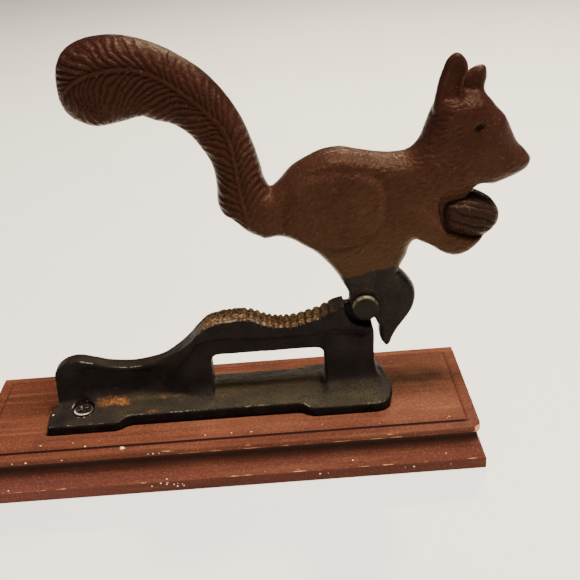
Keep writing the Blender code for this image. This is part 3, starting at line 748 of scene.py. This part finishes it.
def stand_masks(rest, verts, normals, rough, on_saddle, on_hump):
    """Rust, crust, dust and wear, with painted highlights on lit edges and rims; rest holds the points
    before their roughness.
    """
    x, y, z = rest.T
    crest = smoothstep(0.3, 0.95, rib_gap(x))
    patch = np.exp(-(((x + 45.4) / 6.8) ** 4 + ((y + 5.6) / 2.4) ** 4))
    patch = patch + 0.42 * np.exp(-(((x + 27.5) / 4.2) ** 4 + ((y + 12.2) / 0.8) ** 2))
    foot = bell(y + 4.6, 1.8) * smoothstep(-40.0, -34.0, x) * smoothstep(36.0, -10.0, x)
    line = foot * (0.36 + 0.3 * rough(verts + 60.0, 2.2))
    rust_noise = 0.6 + 0.4 * rough(verts + 5.0, 3.2)
    upward = smoothstep(0.3, 0.8, normals[:, 2])
    warm = bell(x - 27.0, 9.0) + bell(x + 4.5, 3.5)
    rust = (1.25 * patch + line * (z < 29.0)) * upward * rust_noise + 0.34 * warm * on_saddle
    plan = signed_distance(np.array(FLANGE), x, y)
    edge = smoothstep(-0.9, -0.45, plan) * smoothstep(0.1, 0.5, normals[:, 2]) * (z < 27.0)
    edge = edge * (0.55 + 0.45 * rough(verts, 4.0))
    # Rubbed paint and a painted highlight on the rim of each screw's countersink.
    collar_wear_and_highlight = np.zeros(len(x))
    for name in SCREWS:
        centre, _, radius = screw_place(name)
        ring = np.hypot(x - centre[0], y - centre[1]) - radius
        collar_wear_and_highlight += bell(ring - 0.8, 0.4) * (z > 23.0) * (z < 26.6)
    collar_wear_and_highlight = collar_wear_and_highlight * smoothstep(-0.5, 0.6, rough(verts, 1.2))
    # The rounded arris between top and side faces, where painted highlights go: bright specks on the rib
    # ends and a thin line on the hump's front rim.
    lit_arris = bell(normals[:, 2] - 0.62, 0.24) * (np.abs(normals[:, 1]) > 0.3)
    rib_tip_highlight = lit_arris * crest * (z > 53.0) * smoothstep(-2.0, 6.0, x) * smoothstep(48.0, 36.0, x)
    rib_tip_highlight = rib_tip_highlight * smoothstep(-0.35, 0.6, rough(verts, 1.6))
    # Painted highlight: a thin line along the hump's front rim.
    brow = lit_arris * (z > 32.0) * (y < 0.0) * smoothstep(-22.0, -28.0, x)
    brow = brow * smoothstep(-0.6, 0.5, rough(verts, 2.6))
    dust = 0.62 + 0.3 * rough(verts, 6.0) + 0.2 * smoothstep(10.0, 60.0, x) + 0.45 * foot
    dust = (dust - 0.34 * smoothstep(-35.0, -60.0, x)) * (1.0 - 0.65 * smoothstep(2.0, 6.0, y))
    dust = dust * (1.0 - 0.5 * smoothstep(60.0, 66.0, x)) * smoothstep(31.5, 28.5, z)
    dust = dust + 0.17 * smoothstep(-16.0, -22.0, x) * (z > 38.0) * (1.0 + rough(verts, 3.0))
    return {
        "rust": np.clip(rust, 0.0, 1.0),
        "crust": (on_saddle * (0.40 + 0.55 * crest) * (1.0 - 0.6 * smoothstep(38.0, 45.0, x))
                  * (1.0 - 0.4 * on_hump)),
        "dust": upward * np.clip(dust, 0.0, 1.0),
        # Rubbed paint on the flange edges, and painted highlights on the countersink rims, rib ends and
        # hump rim.
        "wear": np.clip(0.62 * edge + 0.75 * collar_wear_and_highlight + 1.3 * rib_tip_highlight + 0.8 * brow, 0.0, 1.0),
    }


def make_stand(materials):
    """The stand casting: surface, roughness, and masks for paint, wear and painted highlights."""
    low, high = node_box("stand")
    step = 0.44
    block = Block(low - 1.3, high + 1.3, step)
    field = stand_field(block).astype(np.float32)
    verts, faces = surface_net(block, field)
    verts, normals = settle(block, field, verts)
    x, y, z = verts.T
    reach = np.hypot(x - PIVOT[0], z - PIVOT[2])
    rough = Noise(21)
    lumps = rough(verts, 4.5)
    grain = rough(verts + 40.0, 1.0)
    pits = np.maximum(0.0, rough(verts + 80.0, 2.0) - 0.35)

    on_saddle = smoothstep(-9.0, -3.0, x) * smoothstep(50.0, 43.0, x) * smoothstep(0.25, 0.6, normals[:, 2])
    on_saddle = on_saddle * (z > 50.0)
    on_hump = on_saddle * smoothstep(12.0, 8.0, x)
    crumbs = rough(verts + 10.0, 1.5) + 0.6 * rough(verts + 20.0, 0.8)
    fit = smoothstep(9.2, 10.4, reach)
    height = (0.09 * lumps + 0.05 * grain - 0.25 * pits) * fit + 0.28 * crumbs * on_hump
    height = height + 0.10 * crumbs * on_saddle
    base = z < low[2] + 0.4
    height = np.where(base, 0.0, height)
    rest = verts
    verts = verts + normals * height[:, None]
    masks = stand_masks(rest, verts, normals, rough, on_saddle, on_hump)
    piece = mesh_piece("stand_casting", verts, faces, "base", materials["stand"], masks)
    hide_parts("stand")
    return piece


# ---------------------------------------------------------------- plinth

# The largest drop of cream paint, on the border strip.
BLOB = (-40.1, -28.1, 18.5)
# Heights on the moulding where specks sit, and the middle of a cluster of them.
FLECK_LEVELS = (5.6, 7.4, 3.0, 17.4)
CLUSTER_X = -22.0
# Edge moulding from the bottom up: inset from the outside, height.
PLINTH_PROFILE = [
    (0.35, 0.0), (0.0, 0.4), (0.0, 4.4), (0.1, 4.8), (0.45, 5.1), (1.0, 5.8), (1.7, 6.8), (2.3, 7.8),
    (2.9, 9.2), (3.5, 10.8), (4.0, 12.6), (4.3, 14.2), (4.2, 15.3), (3.7, 16.0), (2.95, 16.2),
    (2.65, 16.5), (2.6, 17.0), (2.6, 17.95), (2.75, 18.3), (3.1, 18.5), (6.2, 18.55), (6.5, 18.4),
    (6.8, 18.35), (6.95, 18.5), (7.0, 18.85), (7.2, 19.0),
]
# The moulding as drawn above against the inset at which it is cut; the ends reach further out.
DRAWN_INSET = (0.0, 2.6, 4.3, 7.2)
CUT_INSET = (0.0, 1.5, 3.2, 7.0)
END_REACH = 0.5
FLAT_INSET = 20.0       # inset given to the points inside the flat top and bottom


def cut_inset(drawn):
    """Insets along x and along y for one point of the drawn moulding."""
    inset = np.interp(drawn, DRAWN_INSET, CUT_INSET)
    return np.array([inset - END_REACH, inset])


def plinth_rings(low, high):
    """Rings of the moulding and the filled top and bottom, as vertices and quads."""
    middle = (low + high) / 2.0
    half = (high - low) / 2.0
    pitch = 1.0
    nx = int(2 * half[0] / pitch)
    ny = int(2 * half[1] / pitch)
    fine = []
    for (ea, za), (eb, zb) in zip(PLINTH_PROFILE[:-1], PLINTH_PROFILE[1:]):
        parts = max(1, int(math.hypot(eb - ea, zb - za) / 0.6))
        fine += [(ea + (eb - ea) * k / parts, za + (zb - za) * k / parts) for k in range(parts)]
    fine.append(PLINTH_PROFILE[-1])
    tx = np.linspace(-1.0, 1.0, nx + 1)
    ty = np.linspace(-1.0, 1.0, ny + 1)
    loop = ([(t, -1.0) for t in tx[:-1]] + [(1.0, t) for t in ty[:-1]]
            + [(t, 1.0) for t in tx[:0:-1]] + [(-1.0, t) for t in ty[:0:-1]])
    loop = np.array(loop)
    count = len(loop)
    verts, faces, insets = [], [], []
    for inset, height in fine:
        ring = loop * (half[:2] - cut_inset(inset)) + middle[:2]
        verts.append(np.column_stack([ring, np.full(count, low[2] + height)]))
        insets.append(np.full(count, inset))
    ids = np.arange(count)
    after = (ids + 1) % count
    for k in range(len(fine) - 1):
        a, b = k * count, (k + 1) * count
        faces.append(np.stack([a + ids, a + after, b + after, b + ids], axis=1))
    verts, insets = np.concatenate(verts), np.concatenate(insets)
    for level, upward in ((0, False), (len(fine) - 1, True)):
        inset, height = fine[level]
        grid = np.full((nx + 1, ny + 1), -1)
        at = level * count
        grid[:-1, 0] = at + np.arange(nx)
        grid[-1, :-1] = at + nx + np.arange(ny)
        grid[:0:-1, -1] = at + nx + ny + np.arange(nx)
        grid[0, :0:-1] = at + 2 * nx + ny + np.arange(ny)
        inner = np.argwhere(grid < 0)
        grid[inner[:, 0], inner[:, 1]] = len(verts) + np.arange(len(inner))
        flat = np.column_stack([tx[inner[:, 0]], ty[inner[:, 1]]])
        flat = flat * (half[:2] - cut_inset(inset)) + middle[:2]
        insets = np.concatenate([insets, np.full(len(flat), FLAT_INSET)])
        verts = np.concatenate([verts, np.column_stack([flat, np.full(len(flat), low[2] + height)])])
        square = np.stack([grid[:-1, :-1], grid[1:, :-1], grid[1:, 1:], grid[:-1, 1:]], axis=2)
        square = square.reshape(-1, 4)
        faces.append(square if upward else square[:, ::-1])
    return verts, np.concatenate(faces), insets


def make_plinth(materials):
    """The board: moulding, worn edges, chipped corner, and masks for paint and painted shade."""
    low, high = node_box("plinth")
    verts, faces, inset = plinth_rings(low, high)
    half = (high - low) / 2.0
    middle = (low + high) / 2.0
    rough = Noise(31)
    x, y, z = verts.T
    from_end = half[0] - np.abs(x - middle[0])
    from_side = half[1] - np.abs(y - middle[1])
    chip = np.maximum(0.0, rough(verts, 3.0) - 0.4) + np.maximum(0.0, rough(verts + 7.0, 1.3) - 0.5)
    upper_lip = bell(z - 18.1, 0.35) * (inset < 3.4)
    upper_lip = upper_lip + bell(z - 16.6, 0.3) * (0.8 + 0.8 * smoothstep(-60.0, 20.0, x))
    lower_lip = bell(z - 4.9, 0.22) * (inset < 0.7)
    front_right = (x > middle[0]) & (y < middle[1])
    bite = np.exp(-((from_end - 1.0) ** 2 + (from_side - 1.5) ** 2 + (z - 17.8) ** 2) / 5.0) * front_right
    corner = np.hypot(np.maximum(0.0, 6.6 - from_end), np.maximum(0.0, 6.6 - from_side))
    rounding = smoothstep(4.5, 6.5, corner) * 0.25 * (z > 10.0) * (z < 18.4)
    inward = np.stack([-np.sign(x - middle[0]) * (from_end < from_side + 1.5),
                       -np.sign(y - middle[1]) * (from_side < from_end + 1.5),
                       -0.5 * (z > 10.0)], axis=1)
    wear = 0.25 * chip * (upper_lip + lower_lip) + 1.2 * bite + rounding
    verts = verts + inward * wear[:, None]
    on_top = inset > 7.1
    verts[:, 2] += 0.03 * rough(verts * (0.25, 1.0, 1.0), 2.2) * on_top * (z > 10.0)
    patches = 0.6 + 0.4 * rough(verts, 9.0)
    foot = bell(z, 0.5) * (inset < 0.8)
    lip = (upper_lip + 1.35 * lower_lip + 0.8 * foot) * patches + 1.6 * bite
    # Painted shade in the cove under the lip and in the groove round the raised field; the bottom fillet
    # darkens towards the right end.
    cove = bell(z - 13.8, 2.5) * (inset > 2.9) * (inset < 5.0)
    groove = smoothstep(6.3, 6.6, inset) * smoothstep(7.15, 7.02, inset) * (z > 18.0)
    groove = groove * (1.0 - 0.5 * (from_end < from_side))
    fillet = (z < 4.5) * (inset < 0.2) * smoothstep(-60.0, -20.0, x)
    near = smoothstep(27.0, 15.0, np.abs(y - middle[1])) * smoothstep(-90.0, -30.0, x) * (z > 18.7)
    masks = {
        "lip": lip,
        # Painted shade in the cove and groove, with the bottom fillet darker towards the right.
        "painted_shade": np.clip(cove + groove + 0.3 * fillet, 0.0, 1.0),
        "near": near * np.clip(0.75 + 0.5 * rough(verts + 90.0, 7.0), 0.0, 1.0),
        "red": (0.5 + 0.5 * smoothstep(-20.0, -95.0, x)) * smoothstep(12.0, 8.0, z),
    }
    piece = mesh_piece("plinth_board", verts, faces, "base", materials["plinth"], masks)
    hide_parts("plinth")
    return piece


def make_flecks(materials):
    """Dried cream paint: a larger blob, a few drops, specks along the moulding and a cluster."""
    rng = np.random.default_rng(41)
    low, high = node_box("plinth")
    drop, quads = turned_mesh([(0.001, 0.72), (0.5, 0.6), (0.86, 0.28), (1.0, -0.1), (0.001, -0.14)], 11)
    spots = [(BLOB, 0.95, False), ((-55.0, -25.6, high[2]), 0.36, False),
             ((-69.4, -10.4, 24.8), 0.40, False)]
    drawn_insets, drawn_heights = zip(*PLINTH_PROFILE[:18])
    for _ in range(30):
        radius = 0.13 + 0.24 * rng.random() ** 3
        x = rng.uniform(low[0] + 9.0, high[0] - 9.0)
        if rng.random() < 0.7:
            level = rng.choice(FLECK_LEVELS)
            inset = cut_inset(np.interp(level, drawn_heights, drawn_insets))[1]
            spots.append(((x, low[1] + inset, low[2] + level), radius, True))
        else:
            spots.append(((x, rng.uniform(low[1] + 8.0, low[1] + 15.0), high[2]), radius, False))
    for _ in range(10):
        place = (CLUSTER_X + rng.normal(0.0, 4.0), low[1], low[2] + rng.uniform(1.4, 4.2))
        spots.append((place, rng.uniform(0.12, 0.34), True))
    verts, faces = [], []
    for number, (place, radius, upright) in enumerate(spots):
        shape = drop[:, [0, 2, 1]] * (1, -1, 1) if upright else drop
        lobes = 1.0 + 0.16 * np.sin(3.0 * np.arctan2(drop[:, 1], drop[:, 0]) + rng.uniform(0.0, math.pi))
        stretch = 1.0 + 0.3 * rng.random()
        verts.append(shape * lobes[:, None] * radius * (stretch, 1.0, 1.0) + place)
        faces.append(quads + number * len(drop))
    return mesh_piece("paint_flecks", np.concatenate(verts), np.concatenate(faces), "base",
                      materials["fleck"])


# ---------------------------------------------------------------- rivet and screws

def make_rivet(materials):
    low, high = node_box("pivot_rivet")
    radius = (high[0] - low[0]) / 2.0
    reach = (high[1] - low[1]) / 2.0
    seat = reach - 2.4
    dome = [(radius * math.sin(a) * 0.999 + 0.001, seat + 0.7 + (reach - seat - 0.7) * math.cos(a) ** 0.5)
            for a in np.linspace(0.0, math.radians(86.0), 18)]
    upper = dome + [(radius, seat + 0.5), (radius - 0.12, seat + 0.12), (radius - 0.4, seat), (2.5, seat)]
    profile = upper + [(r, -h) for r, h in reversed(upper)]
    verts, faces = turned_mesh(profile, 72)
    rough = Noise(51)
    verts = verts * (1.0 + 0.012 * rough(verts, 2.6)[:, None] * (np.abs(verts[:, 2:]) > seat + 0.3))
    turned = np.column_stack([verts[:, 0], -verts[:, 2], verts[:, 1]])
    place = turned + (low + high) / 2.0
    out = np.hypot(verts[:, 0], verts[:, 1]) / radius
    scuff = rough(place + 4.0, 1.4)
    # Rubbed metal with a painted highlight on the upper rim of the head.
    worn = smoothstep(0.78, 0.96, out) * smoothstep(0.2, 0.9, turned[:, 2] / radius + 0.4 * scuff)
    piece = mesh_piece("rivet_head", place, faces, "base", materials["rivet"], {"wear": worn})
    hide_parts("pivot_rivet")
    return piece


def make_screw(name, angle, materials):
    """Countersunk wood screw with a cross recess in its head and a painted highlight on the near side of
    its rim.
    """
    low, high = node_box(name)
    radius = (high[0] - low[0]) / 2.0
    top = high[2]
    length = top - low[2]
    rings = [(0.001, 0.0)] + [(radius * k / 14.0, 0.0) for k in range(1, 14)]
    rings += [(radius - 0.12, -0.02), (radius, -0.18), (radius, -0.5), (2.1, -2.6)]
    shank_start, shank_end = 4.0, length - 4.0
    turns = int((shank_end - shank_start) * 4)
    for k in range(turns + 1):
        depth = shank_start + (shank_end - shank_start) * k / turns
        rings.append((1.62 + 0.45 * (k % 4 == 2) + 0.2 * (k % 4 in (1, 3)), -depth))
    rings += [(0.8, -(length - 1.6)), (0.001, -length)]
    verts, faces = turned_mesh(rings, 96)
    c, s = math.cos(angle), math.sin(angle)
    u = np.abs(verts[:, 0] * c + verts[:, 1] * s)
    v = np.abs(verts[:, 1] * c - verts[:, 0] * s)
    arm = np.minimum(np.maximum(u - 2.3, v - 0.55), np.maximum(v - 2.3, u - 0.55))
    on_face = verts[:, 2] > -0.1
    recess = smoothstep(0.18, -0.22, arm) * on_face
    verts[:, 2] -= recess * (1.3 - 0.22 * np.hypot(verts[:, 0], verts[:, 1]))
    centre = np.array([(low[0] + high[0]) / 2.0, (low[1] + high[1]) / 2.0, top])
    out = np.hypot(verts[:, 0], verts[:, 1]) / radius
    toward = -(0.45 * verts[:, 0] + 0.9 * verts[:, 1]) / radius
    # Painted highlight: a pale crescent on the near side of the head's rim.
    painted_glint = smoothstep(0.74, 0.86, out) * smoothstep(0.25, 0.7, toward) * on_face
    masks = {"dirt": np.clip(recess + 0.92 * smoothstep(0.92, 0.78, out), 0.0, 1.0), "painted_glint": painted_glint}
    piece = mesh_piece(name + "_steel", verts + centre, faces, "base",
                       materials["screw"], masks)
    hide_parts(name)
    return piece


# ---------------------------------------------------------------- materials

class Tree:
    """Short-hand for building a material's nodes."""

    def __init__(self, name, **values):
        self.material = bpy.data.materials.new(name)
        self.material.use_nodes = True
        self.nodes = self.material.node_tree.nodes
        self.links = self.material.node_tree.links
        self.shader = self.nodes["Principled BSDF"]
        for key, value in values.items():
            self.shader.inputs[key.replace("_", " ")].default_value = value

    def link(self, source, target):
        self.links.new(source, target)

    def mask(self, name):
        node = self.nodes.new("ShaderNodeAttribute")
        node.attribute_name = name
        return node.outputs["Fac"]

    def place(self, scale=(1.0, 1.0, 1.0)):
        """Object position, scaled."""
        coordinates = self.nodes.new("ShaderNodeTexCoord")
        mapping = self.nodes.new("ShaderNodeMapping")
        mapping.inputs["Scale"].default_value = scale
        self.link(coordinates.outputs["Object"], mapping.inputs["Vector"])
        return mapping.outputs["Vector"]

    def over(self, colour, name, share, tone):
        """A colour with a share of another tone where a mask says so."""
        return self.mix(self.math("MULTIPLY", self.mask(name), share), colour, tone)

    def mottle(self, scale, detail, *levels):
        """Noise stretched between levels, which are those of remap."""
        return self.remap(self.noise(scale, detail), *levels)

    def noise(self, scale, detail=3.0, roughness=0.55, stretch=(1.0, 1.0, 1.0)):
        node = self.nodes.new("ShaderNodeTexNoise")
        node.inputs["Scale"].default_value = scale
        node.inputs["Detail"].default_value = detail
        node.inputs["Roughness"].default_value = roughness
        self.link(self.place(stretch), node.inputs["Vector"])
        return node.outputs["Fac"]

    def remap(self, value, low, high, to_low=0.0, to_high=1.0):
        node = self.nodes.new("ShaderNodeMapRange")
        node.inputs["From Min"].default_value = low
        node.inputs["From Max"].default_value = high
        node.inputs["To Min"].default_value = to_low
        node.inputs["To Max"].default_value = to_high
        self.link(value, node.inputs["Value"])
        return node.outputs["Result"]

    def math(self, operation, a, b):
        node = self.nodes.new("ShaderNodeMath")
        node.operation = operation
        for socket, value in zip(node.inputs, (a, b)):
            if isinstance(value, (int, float)):
                socket.default_value = value
            else:
                self.link(value, socket)
        return node.outputs["Value"]

    def mix(self, factor, a, b):
        """Colour mix; a and b are colours or sockets."""
        node = self.nodes.new("ShaderNodeMix")
        node.data_type = "RGBA"
        if isinstance(factor, (int, float)):
            node.inputs["Factor"].default_value = factor
        else:
            self.link(factor, node.inputs["Factor"])
        for socket, value in ((node.inputs[6], a), (node.inputs[7], b)):
            if isinstance(value, tuple):
                socket.default_value = (*value, 1.0)
            else:
                self.link(value, socket)
        return node.outputs[2]

    def bump(self, height, distance, strength=1.0):
        node = self.nodes.new("ShaderNodeBump")
        node.inputs["Strength"].default_value = strength
        node.inputs["Distance"].default_value = distance
        self.link(height, node.inputs["Height"])
        self.link(node.outputs["Normal"], self.shader.inputs["Normal"])

    def colour(self, socket):
        self.link(socket, self.shader.inputs["Base Color"])

    def roughness(self, socket):
        self.link(socket, self.shader.inputs["Roughness"])


def squirrel_material():
    t = Tree("brown_enamel", Specular_IOR_Level=0.06, Specular_Tint=(1.0, 0.64, 0.34, 1.0))
    mottle = t.mottle(90.0, 4.0, 0.35, 0.65)
    speck = t.mottle(900.0, 2.0, 0.62, 0.72)
    brown = t.mix(mottle, (0.0190, 0.0053, 0.0039), (0.0268, 0.0080, 0.0057))
    olive = t.mix(mottle, (0.0385, 0.0160, 0.0080), (0.0520, 0.0222, 0.0112))
    colour = t.over(brown, "low", 0.85, olive)
    colour = t.mix(t.remap(t.mask("low"), 0.92, 1.0, 0.0, 0.7), colour, (0.0490, 0.0262, 0.0138))
    # Painted highlight on the tops of the relief and painted shade in its grooves.
    raised = t.remap(t.mask("relief"), 0.35, 0.9)
    colour = t.mix(t.math("MULTIPLY", raised, 0.35), colour, (0.052, 0.023, 0.016))
    groove_shade = t.remap(t.mask("relief"), 0.45, 0.0)
    colour = t.mix(t.math("MULTIPLY", groove_shade, 0.6), colour, (0.010, 0.004, 0.003))
    colour = t.over(colour, "nut", 0.85, (0.0138, 0.0064, 0.0054))
    black = t.mix(t.mottle(160.0, 4.0, 0.4, 0.7), (0.0100, 0.0090, 0.0096), (0.0172, 0.0154, 0.0146))
    colour = t.mix(t.mask("black"), colour, black)
    colour = t.mix(t.mask("eye"), colour, (0.0012, 0.0010, 0.0010))
    colour = t.mix(t.math("MULTIPLY", speck, 0.10), colour, (0.25, 0.19, 0.14))
    t.colour(colour)
    rough = t.mottle(240.0, 3.0, 0.3, 0.7, 0.17, 0.33)
    t.roughness(t.math("ADD", rough, t.math("MULTIPLY", t.mask("black"), 0.08)))
    t.bump(t.noise(1000.0, 3.0), 0.00045)
    return t.material


def stand_material():
    t = Tree("black_paint_wear_and_highlights", Specular_IOR_Level=0.05)
    mottle = t.mottle(150.0, 4.0, 0.35, 0.7)
    grit = t.noise(1500.0, 3.0, 0.6)
    black = t.mix(mottle, (0.0071, 0.0049, 0.0051), (0.0142, 0.0096, 0.0093))
    streak = t.noise(260.0, 4.0, 0.6, (0.35, 1.0, 1.0))
    sifted = t.math("ADD", t.math("MULTIPLY", grit, 0.68), t.math("MULTIPLY", streak, 0.32))
    dust = t.mix(t.remap(sifted, 0.33, 0.65), (0.0098, 0.0079, 0.0044), (0.047, 0.0355, 0.0195))
    colour = t.mix(t.mask("dust"), black, dust)
    flake = t.noise(900.0, 4.0, 0.62)
    crust = t.mix(t.remap(flake, 0.42, 0.6), (0.032, 0.0215, 0.0135), (0.360, 0.225, 0.125))
    crust = t.mix(t.remap(flake, 0.60, 0.68, 0.0, 0.85), crust, (0.66, 0.50, 0.29))
    crust = t.mix(t.mottle(420.0, 3.0, 0.54, 0.68, 0.0, 0.5), crust, (0.21, 0.095, 0.036))
    colour = t.mix(t.mask("crust"), colour, crust)
    rust_tone = t.mix(t.remap(flake, 0.4, 0.62), (0.066, 0.025, 0.0074), (0.250, 0.095, 0.0255))
    spread = t.math("ADD", t.mask("rust"), t.noise(520.0, 4.0, 0.6, (0.5, 1.0, 1.0)))
    rusty = t.remap(spread, 0.64, 1.40)
    colour = t.mix(rusty, colour, rust_tone)
    # Pale grey for rubbed paint on the flange edges and painted highlights on the countersink rims, rib
    # ends and hump rim.
    rub_and_highlight = t.math("ADD", t.mask("wear"), t.math("MULTIPLY", t.noise(1700.0, 3.0, 0.6), 1.1))
    worn = t.remap(rub_and_highlight, 0.98, 1.25)
    colour = t.mix(t.math("MULTIPLY", worn, 0.8), colour, (0.26, 0.22, 0.155))
    t.colour(colour)
    dull = t.math("MAXIMUM", t.math("MAXIMUM", rusty, t.mask("crust")), t.mask("dust"))
    rough = t.mottle(300.0, 3.0, 0.3, 0.7, 0.34, 0.50)
    t.roughness(t.math("ADD", rough, t.math("MULTIPLY", dull, 0.32)))
    t.bump(grit, 0.00026)
    return t.material


def wood_material():
    t = Tree("mahogany_stain", Specular_IOR_Level=0.05)
    grain = t.noise(75.0, 6.0, 0.62, (0.09, 1.0, 1.0))
    fine_grain = t.noise(330.0, 4.0, 0.6, (0.07, 1.0, 1.0))
    speckle = t.noise(1150.0, 3.0, 0.65)
    cloud = t.mottle(26.0, 4.0, 0.42, 0.66)
    stain = t.mix(t.remap(grain, 0.34, 0.66), (0.066, 0.0180, 0.0104), (0.122, 0.0360, 0.0190))
    stain = t.mix(t.math("MULTIPLY", cloud, 0.55), stain, (0.050, 0.0150, 0.0095))
    stain = t.over(stain, "near", 0.35, (0.135, 0.0480, 0.0240))
    stain = t.over(stain, "red", 0.75, (0.124, 0.0370, 0.0295))
    stain = t.mix(t.remap(fine_grain, 0.56, 0.72, 0.0, 0.55), stain, (0.036, 0.0105, 0.007))
    stain = t.mix(t.remap(fine_grain, 0.46, 0.3, 0.0, 0.4), stain, (0.185, 0.0700, 0.0340))
    tan = t.math("ADD", speckle, t.math("MULTIPLY", t.mask("near"), 0.03))
    stain = t.mix(t.remap(tan, 0.54, 0.72, 0.0, 0.34), stain, (0.260, 0.115, 0.055))
    stain = t.mix(t.remap(speckle, 0.46, 0.3, 0.0, 0.45), stain, (0.036, 0.0105, 0.007))
    # Painted shade in the cove and in the groove round the field, and darker towards the right on the
    # bottom fillet.
    stain = t.over(stain, "painted_shade", 0.95, (0.0120, 0.0036, 0.0028))
    edge = t.math("ADD", t.math("MULTIPLY", t.mask("lip"), 0.5), t.noise(420.0, 4.0, 0.6, (0.4, 1.0, 1.0)))
    bare = t.remap(edge, 0.87, 0.97)
    t.colour(t.mix(bare, stain, (0.52, 0.25, 0.105)))
    t.roughness(t.mottle(150.0, 3.0, 0.3, 0.7, 0.5, 0.66))
    t.bump(t.math("ADD", speckle, t.math("MULTIPLY", grain, 0.5)), 0.00014)
    return t.material


def rivet_material():
    t = Tree("rivet_paint_and_highlight", Specular_IOR_Level=0.07)
    mottle = t.mottle(260.0, 4.0, 0.35, 0.7)
    black = t.mix(mottle, (0.0070, 0.0053, 0.0041), (0.0135, 0.0095, 0.0066))
    # Painted highlight on the upper rim, in a paler, partly metallic tone of rubbed metal.
    colour = t.over(black, "wear", 0.8, (0.30, 0.24, 0.15))
    t.colour(colour)
    t.link(t.math("MULTIPLY", t.mask("wear"), 0.6), t.shader.inputs["Metallic"])
    t.roughness(t.mottle(400.0, 3.0, 0.3, 0.7, 0.30, 0.48))
    t.bump(t.noise(1100.0, 3.0), 0.00018)
    return t.material


def screw_material():
    t = Tree("tarnished_screw")
    # The glint mask paints a pale, less metallic highlight on the near side of the rim.
    t.link(t.remap(t.mask("painted_glint"), 0.0, 1.0, 0.85, 0.2), t.shader.inputs["Metallic"])
    mottle = t.mottle(500.0, 3.0, 0.35, 0.65)
    steel = t.mix(mottle, (0.09, 0.074, 0.050), (0.20, 0.168, 0.118))
    dirty = t.over(steel, "dirt", 0.9, (0.016, 0.012, 0.009))
    t.colour(t.mix(t.mask("painted_glint"), dirty, (0.50, 0.46, 0.38)))
    t.roughness(t.mottle(700.0, 2.0, 0.3, 0.7, 0.32, 0.5))
    t.bump(t.noise(1600.0, 2.0), 0.00008)
    return t.material


def fleck_material():
    t = Tree("cream_paint", Specular_IOR_Level=0.4)
    tone = t.mottle(700.0, 2.0, 0.3, 0.7)
    t.colour(t.mix(tone, (0.60, 0.42, 0.24), (0.80, 0.61, 0.39)))
    t.roughness(t.mottle(900.0, 2.0, 0.3, 0.7, 0.4, 0.6))
    return t.material


def floor_material():
    t = Tree("pale_table", Specular_IOR_Level=0.3)
    tone = t.mottle(3.0, 2.0, 0.3, 0.7)
    t.colour(t.mix(tone, (0.88, 0.86, 0.80), (0.91, 0.89, 0.83)))
    t.roughness(t.mottle(12.0, 2.0, 0.3, 0.7, 0.5, 0.6))
    return t.material


# ---------------------------------------------------------------- stage

def make_floor():
    bpy.ops.mesh.primitive_plane_add(size=8.0, location=(0.0, 0.0, CAD_BOX[0][2]))
    floor = bpy.context.object
    floor.name = "table"
    floor.data.materials.append(floor_material())


def area_light(name, position, target, size, power, colour):
    data = bpy.data.lights.new(name, "AREA")
    data.shape = "DISK"
    data.size = size
    data.energy = power
    data.color = colour
    light = bpy.data.objects.new(name, data)
    bpy.context.scene.collection.objects.link(light)
    light.location = position
    direction = Vector(target) - Vector(position)
    light.rotation_euler = direction.to_track_quat("-Z", "Y").to_euler()


def make_stage():
    make_floor()
    middle = (0.03, 0.0, 0.08)
    area_light("key", (0.40, -0.14, 1.50), middle, 0.36, 66.0, (1.0, 0.95, 0.86))
    area_light("fill", (-0.6, -1.0, 0.9), middle, 1.1, 3.4, (1.0, 0.97, 0.93))
    area_light("back", (0.26, 0.85, 0.78), middle, 0.15, 10.0, (1.0, 0.76, 0.46))
    world = bpy.data.worlds.new("studio")
    bpy.context.scene.world = world
    world.use_nodes = True
    background = world.node_tree.nodes["Background"]
    background.inputs["Color"].default_value = (1.0, 0.975, 0.93, 1.0)
    background.inputs["Strength"].default_value = 0.12


def make_camera():
    """Camera looking slightly down on the object's near side."""
    pitch, roll = math.radians(26.26), math.radians(4.29)
    forward = Vector((0.0, math.cos(pitch), -math.sin(pitch)))
    right = Vector((1.0, 0.0, 0.0))
    up = right.cross(forward)
    across = right * math.cos(roll) - up * math.sin(roll)
    upright = right * math.sin(roll) + up * math.cos(roll)
    data = bpy.data.cameras.new("camera")
    data.lens = 57.41
    data.sensor_width = 36.0
    data.clip_start = 0.01
    camera = bpy.data.objects.new("camera", data)
    bpy.context.scene.collection.objects.link(camera)
    rotation = Matrix((across, upright, -forward)).transposed()
    camera.matrix_world = Matrix.Translation((0.02996, -0.32711, 0.22944)) @ rotation.to_4x4()
    bpy.context.scene.camera = camera


def build():
    make_camera()
    make_stage()
    materials = {
        "squirrel": squirrel_material(),
        "stand": stand_material(),
        "plinth": wood_material(),
        "rivet": rivet_material(),
        "screw": screw_material(),
        "fleck": fleck_material(),
    }
    make_squirrel(materials)
    make_stand(materials)
    make_plinth(materials)
    make_flecks(materials)
    make_rivet(materials)
    for name, angle in zip(SCREWS, (0.5, 1.1)):
        make_screw(name, angle, materials)


build()
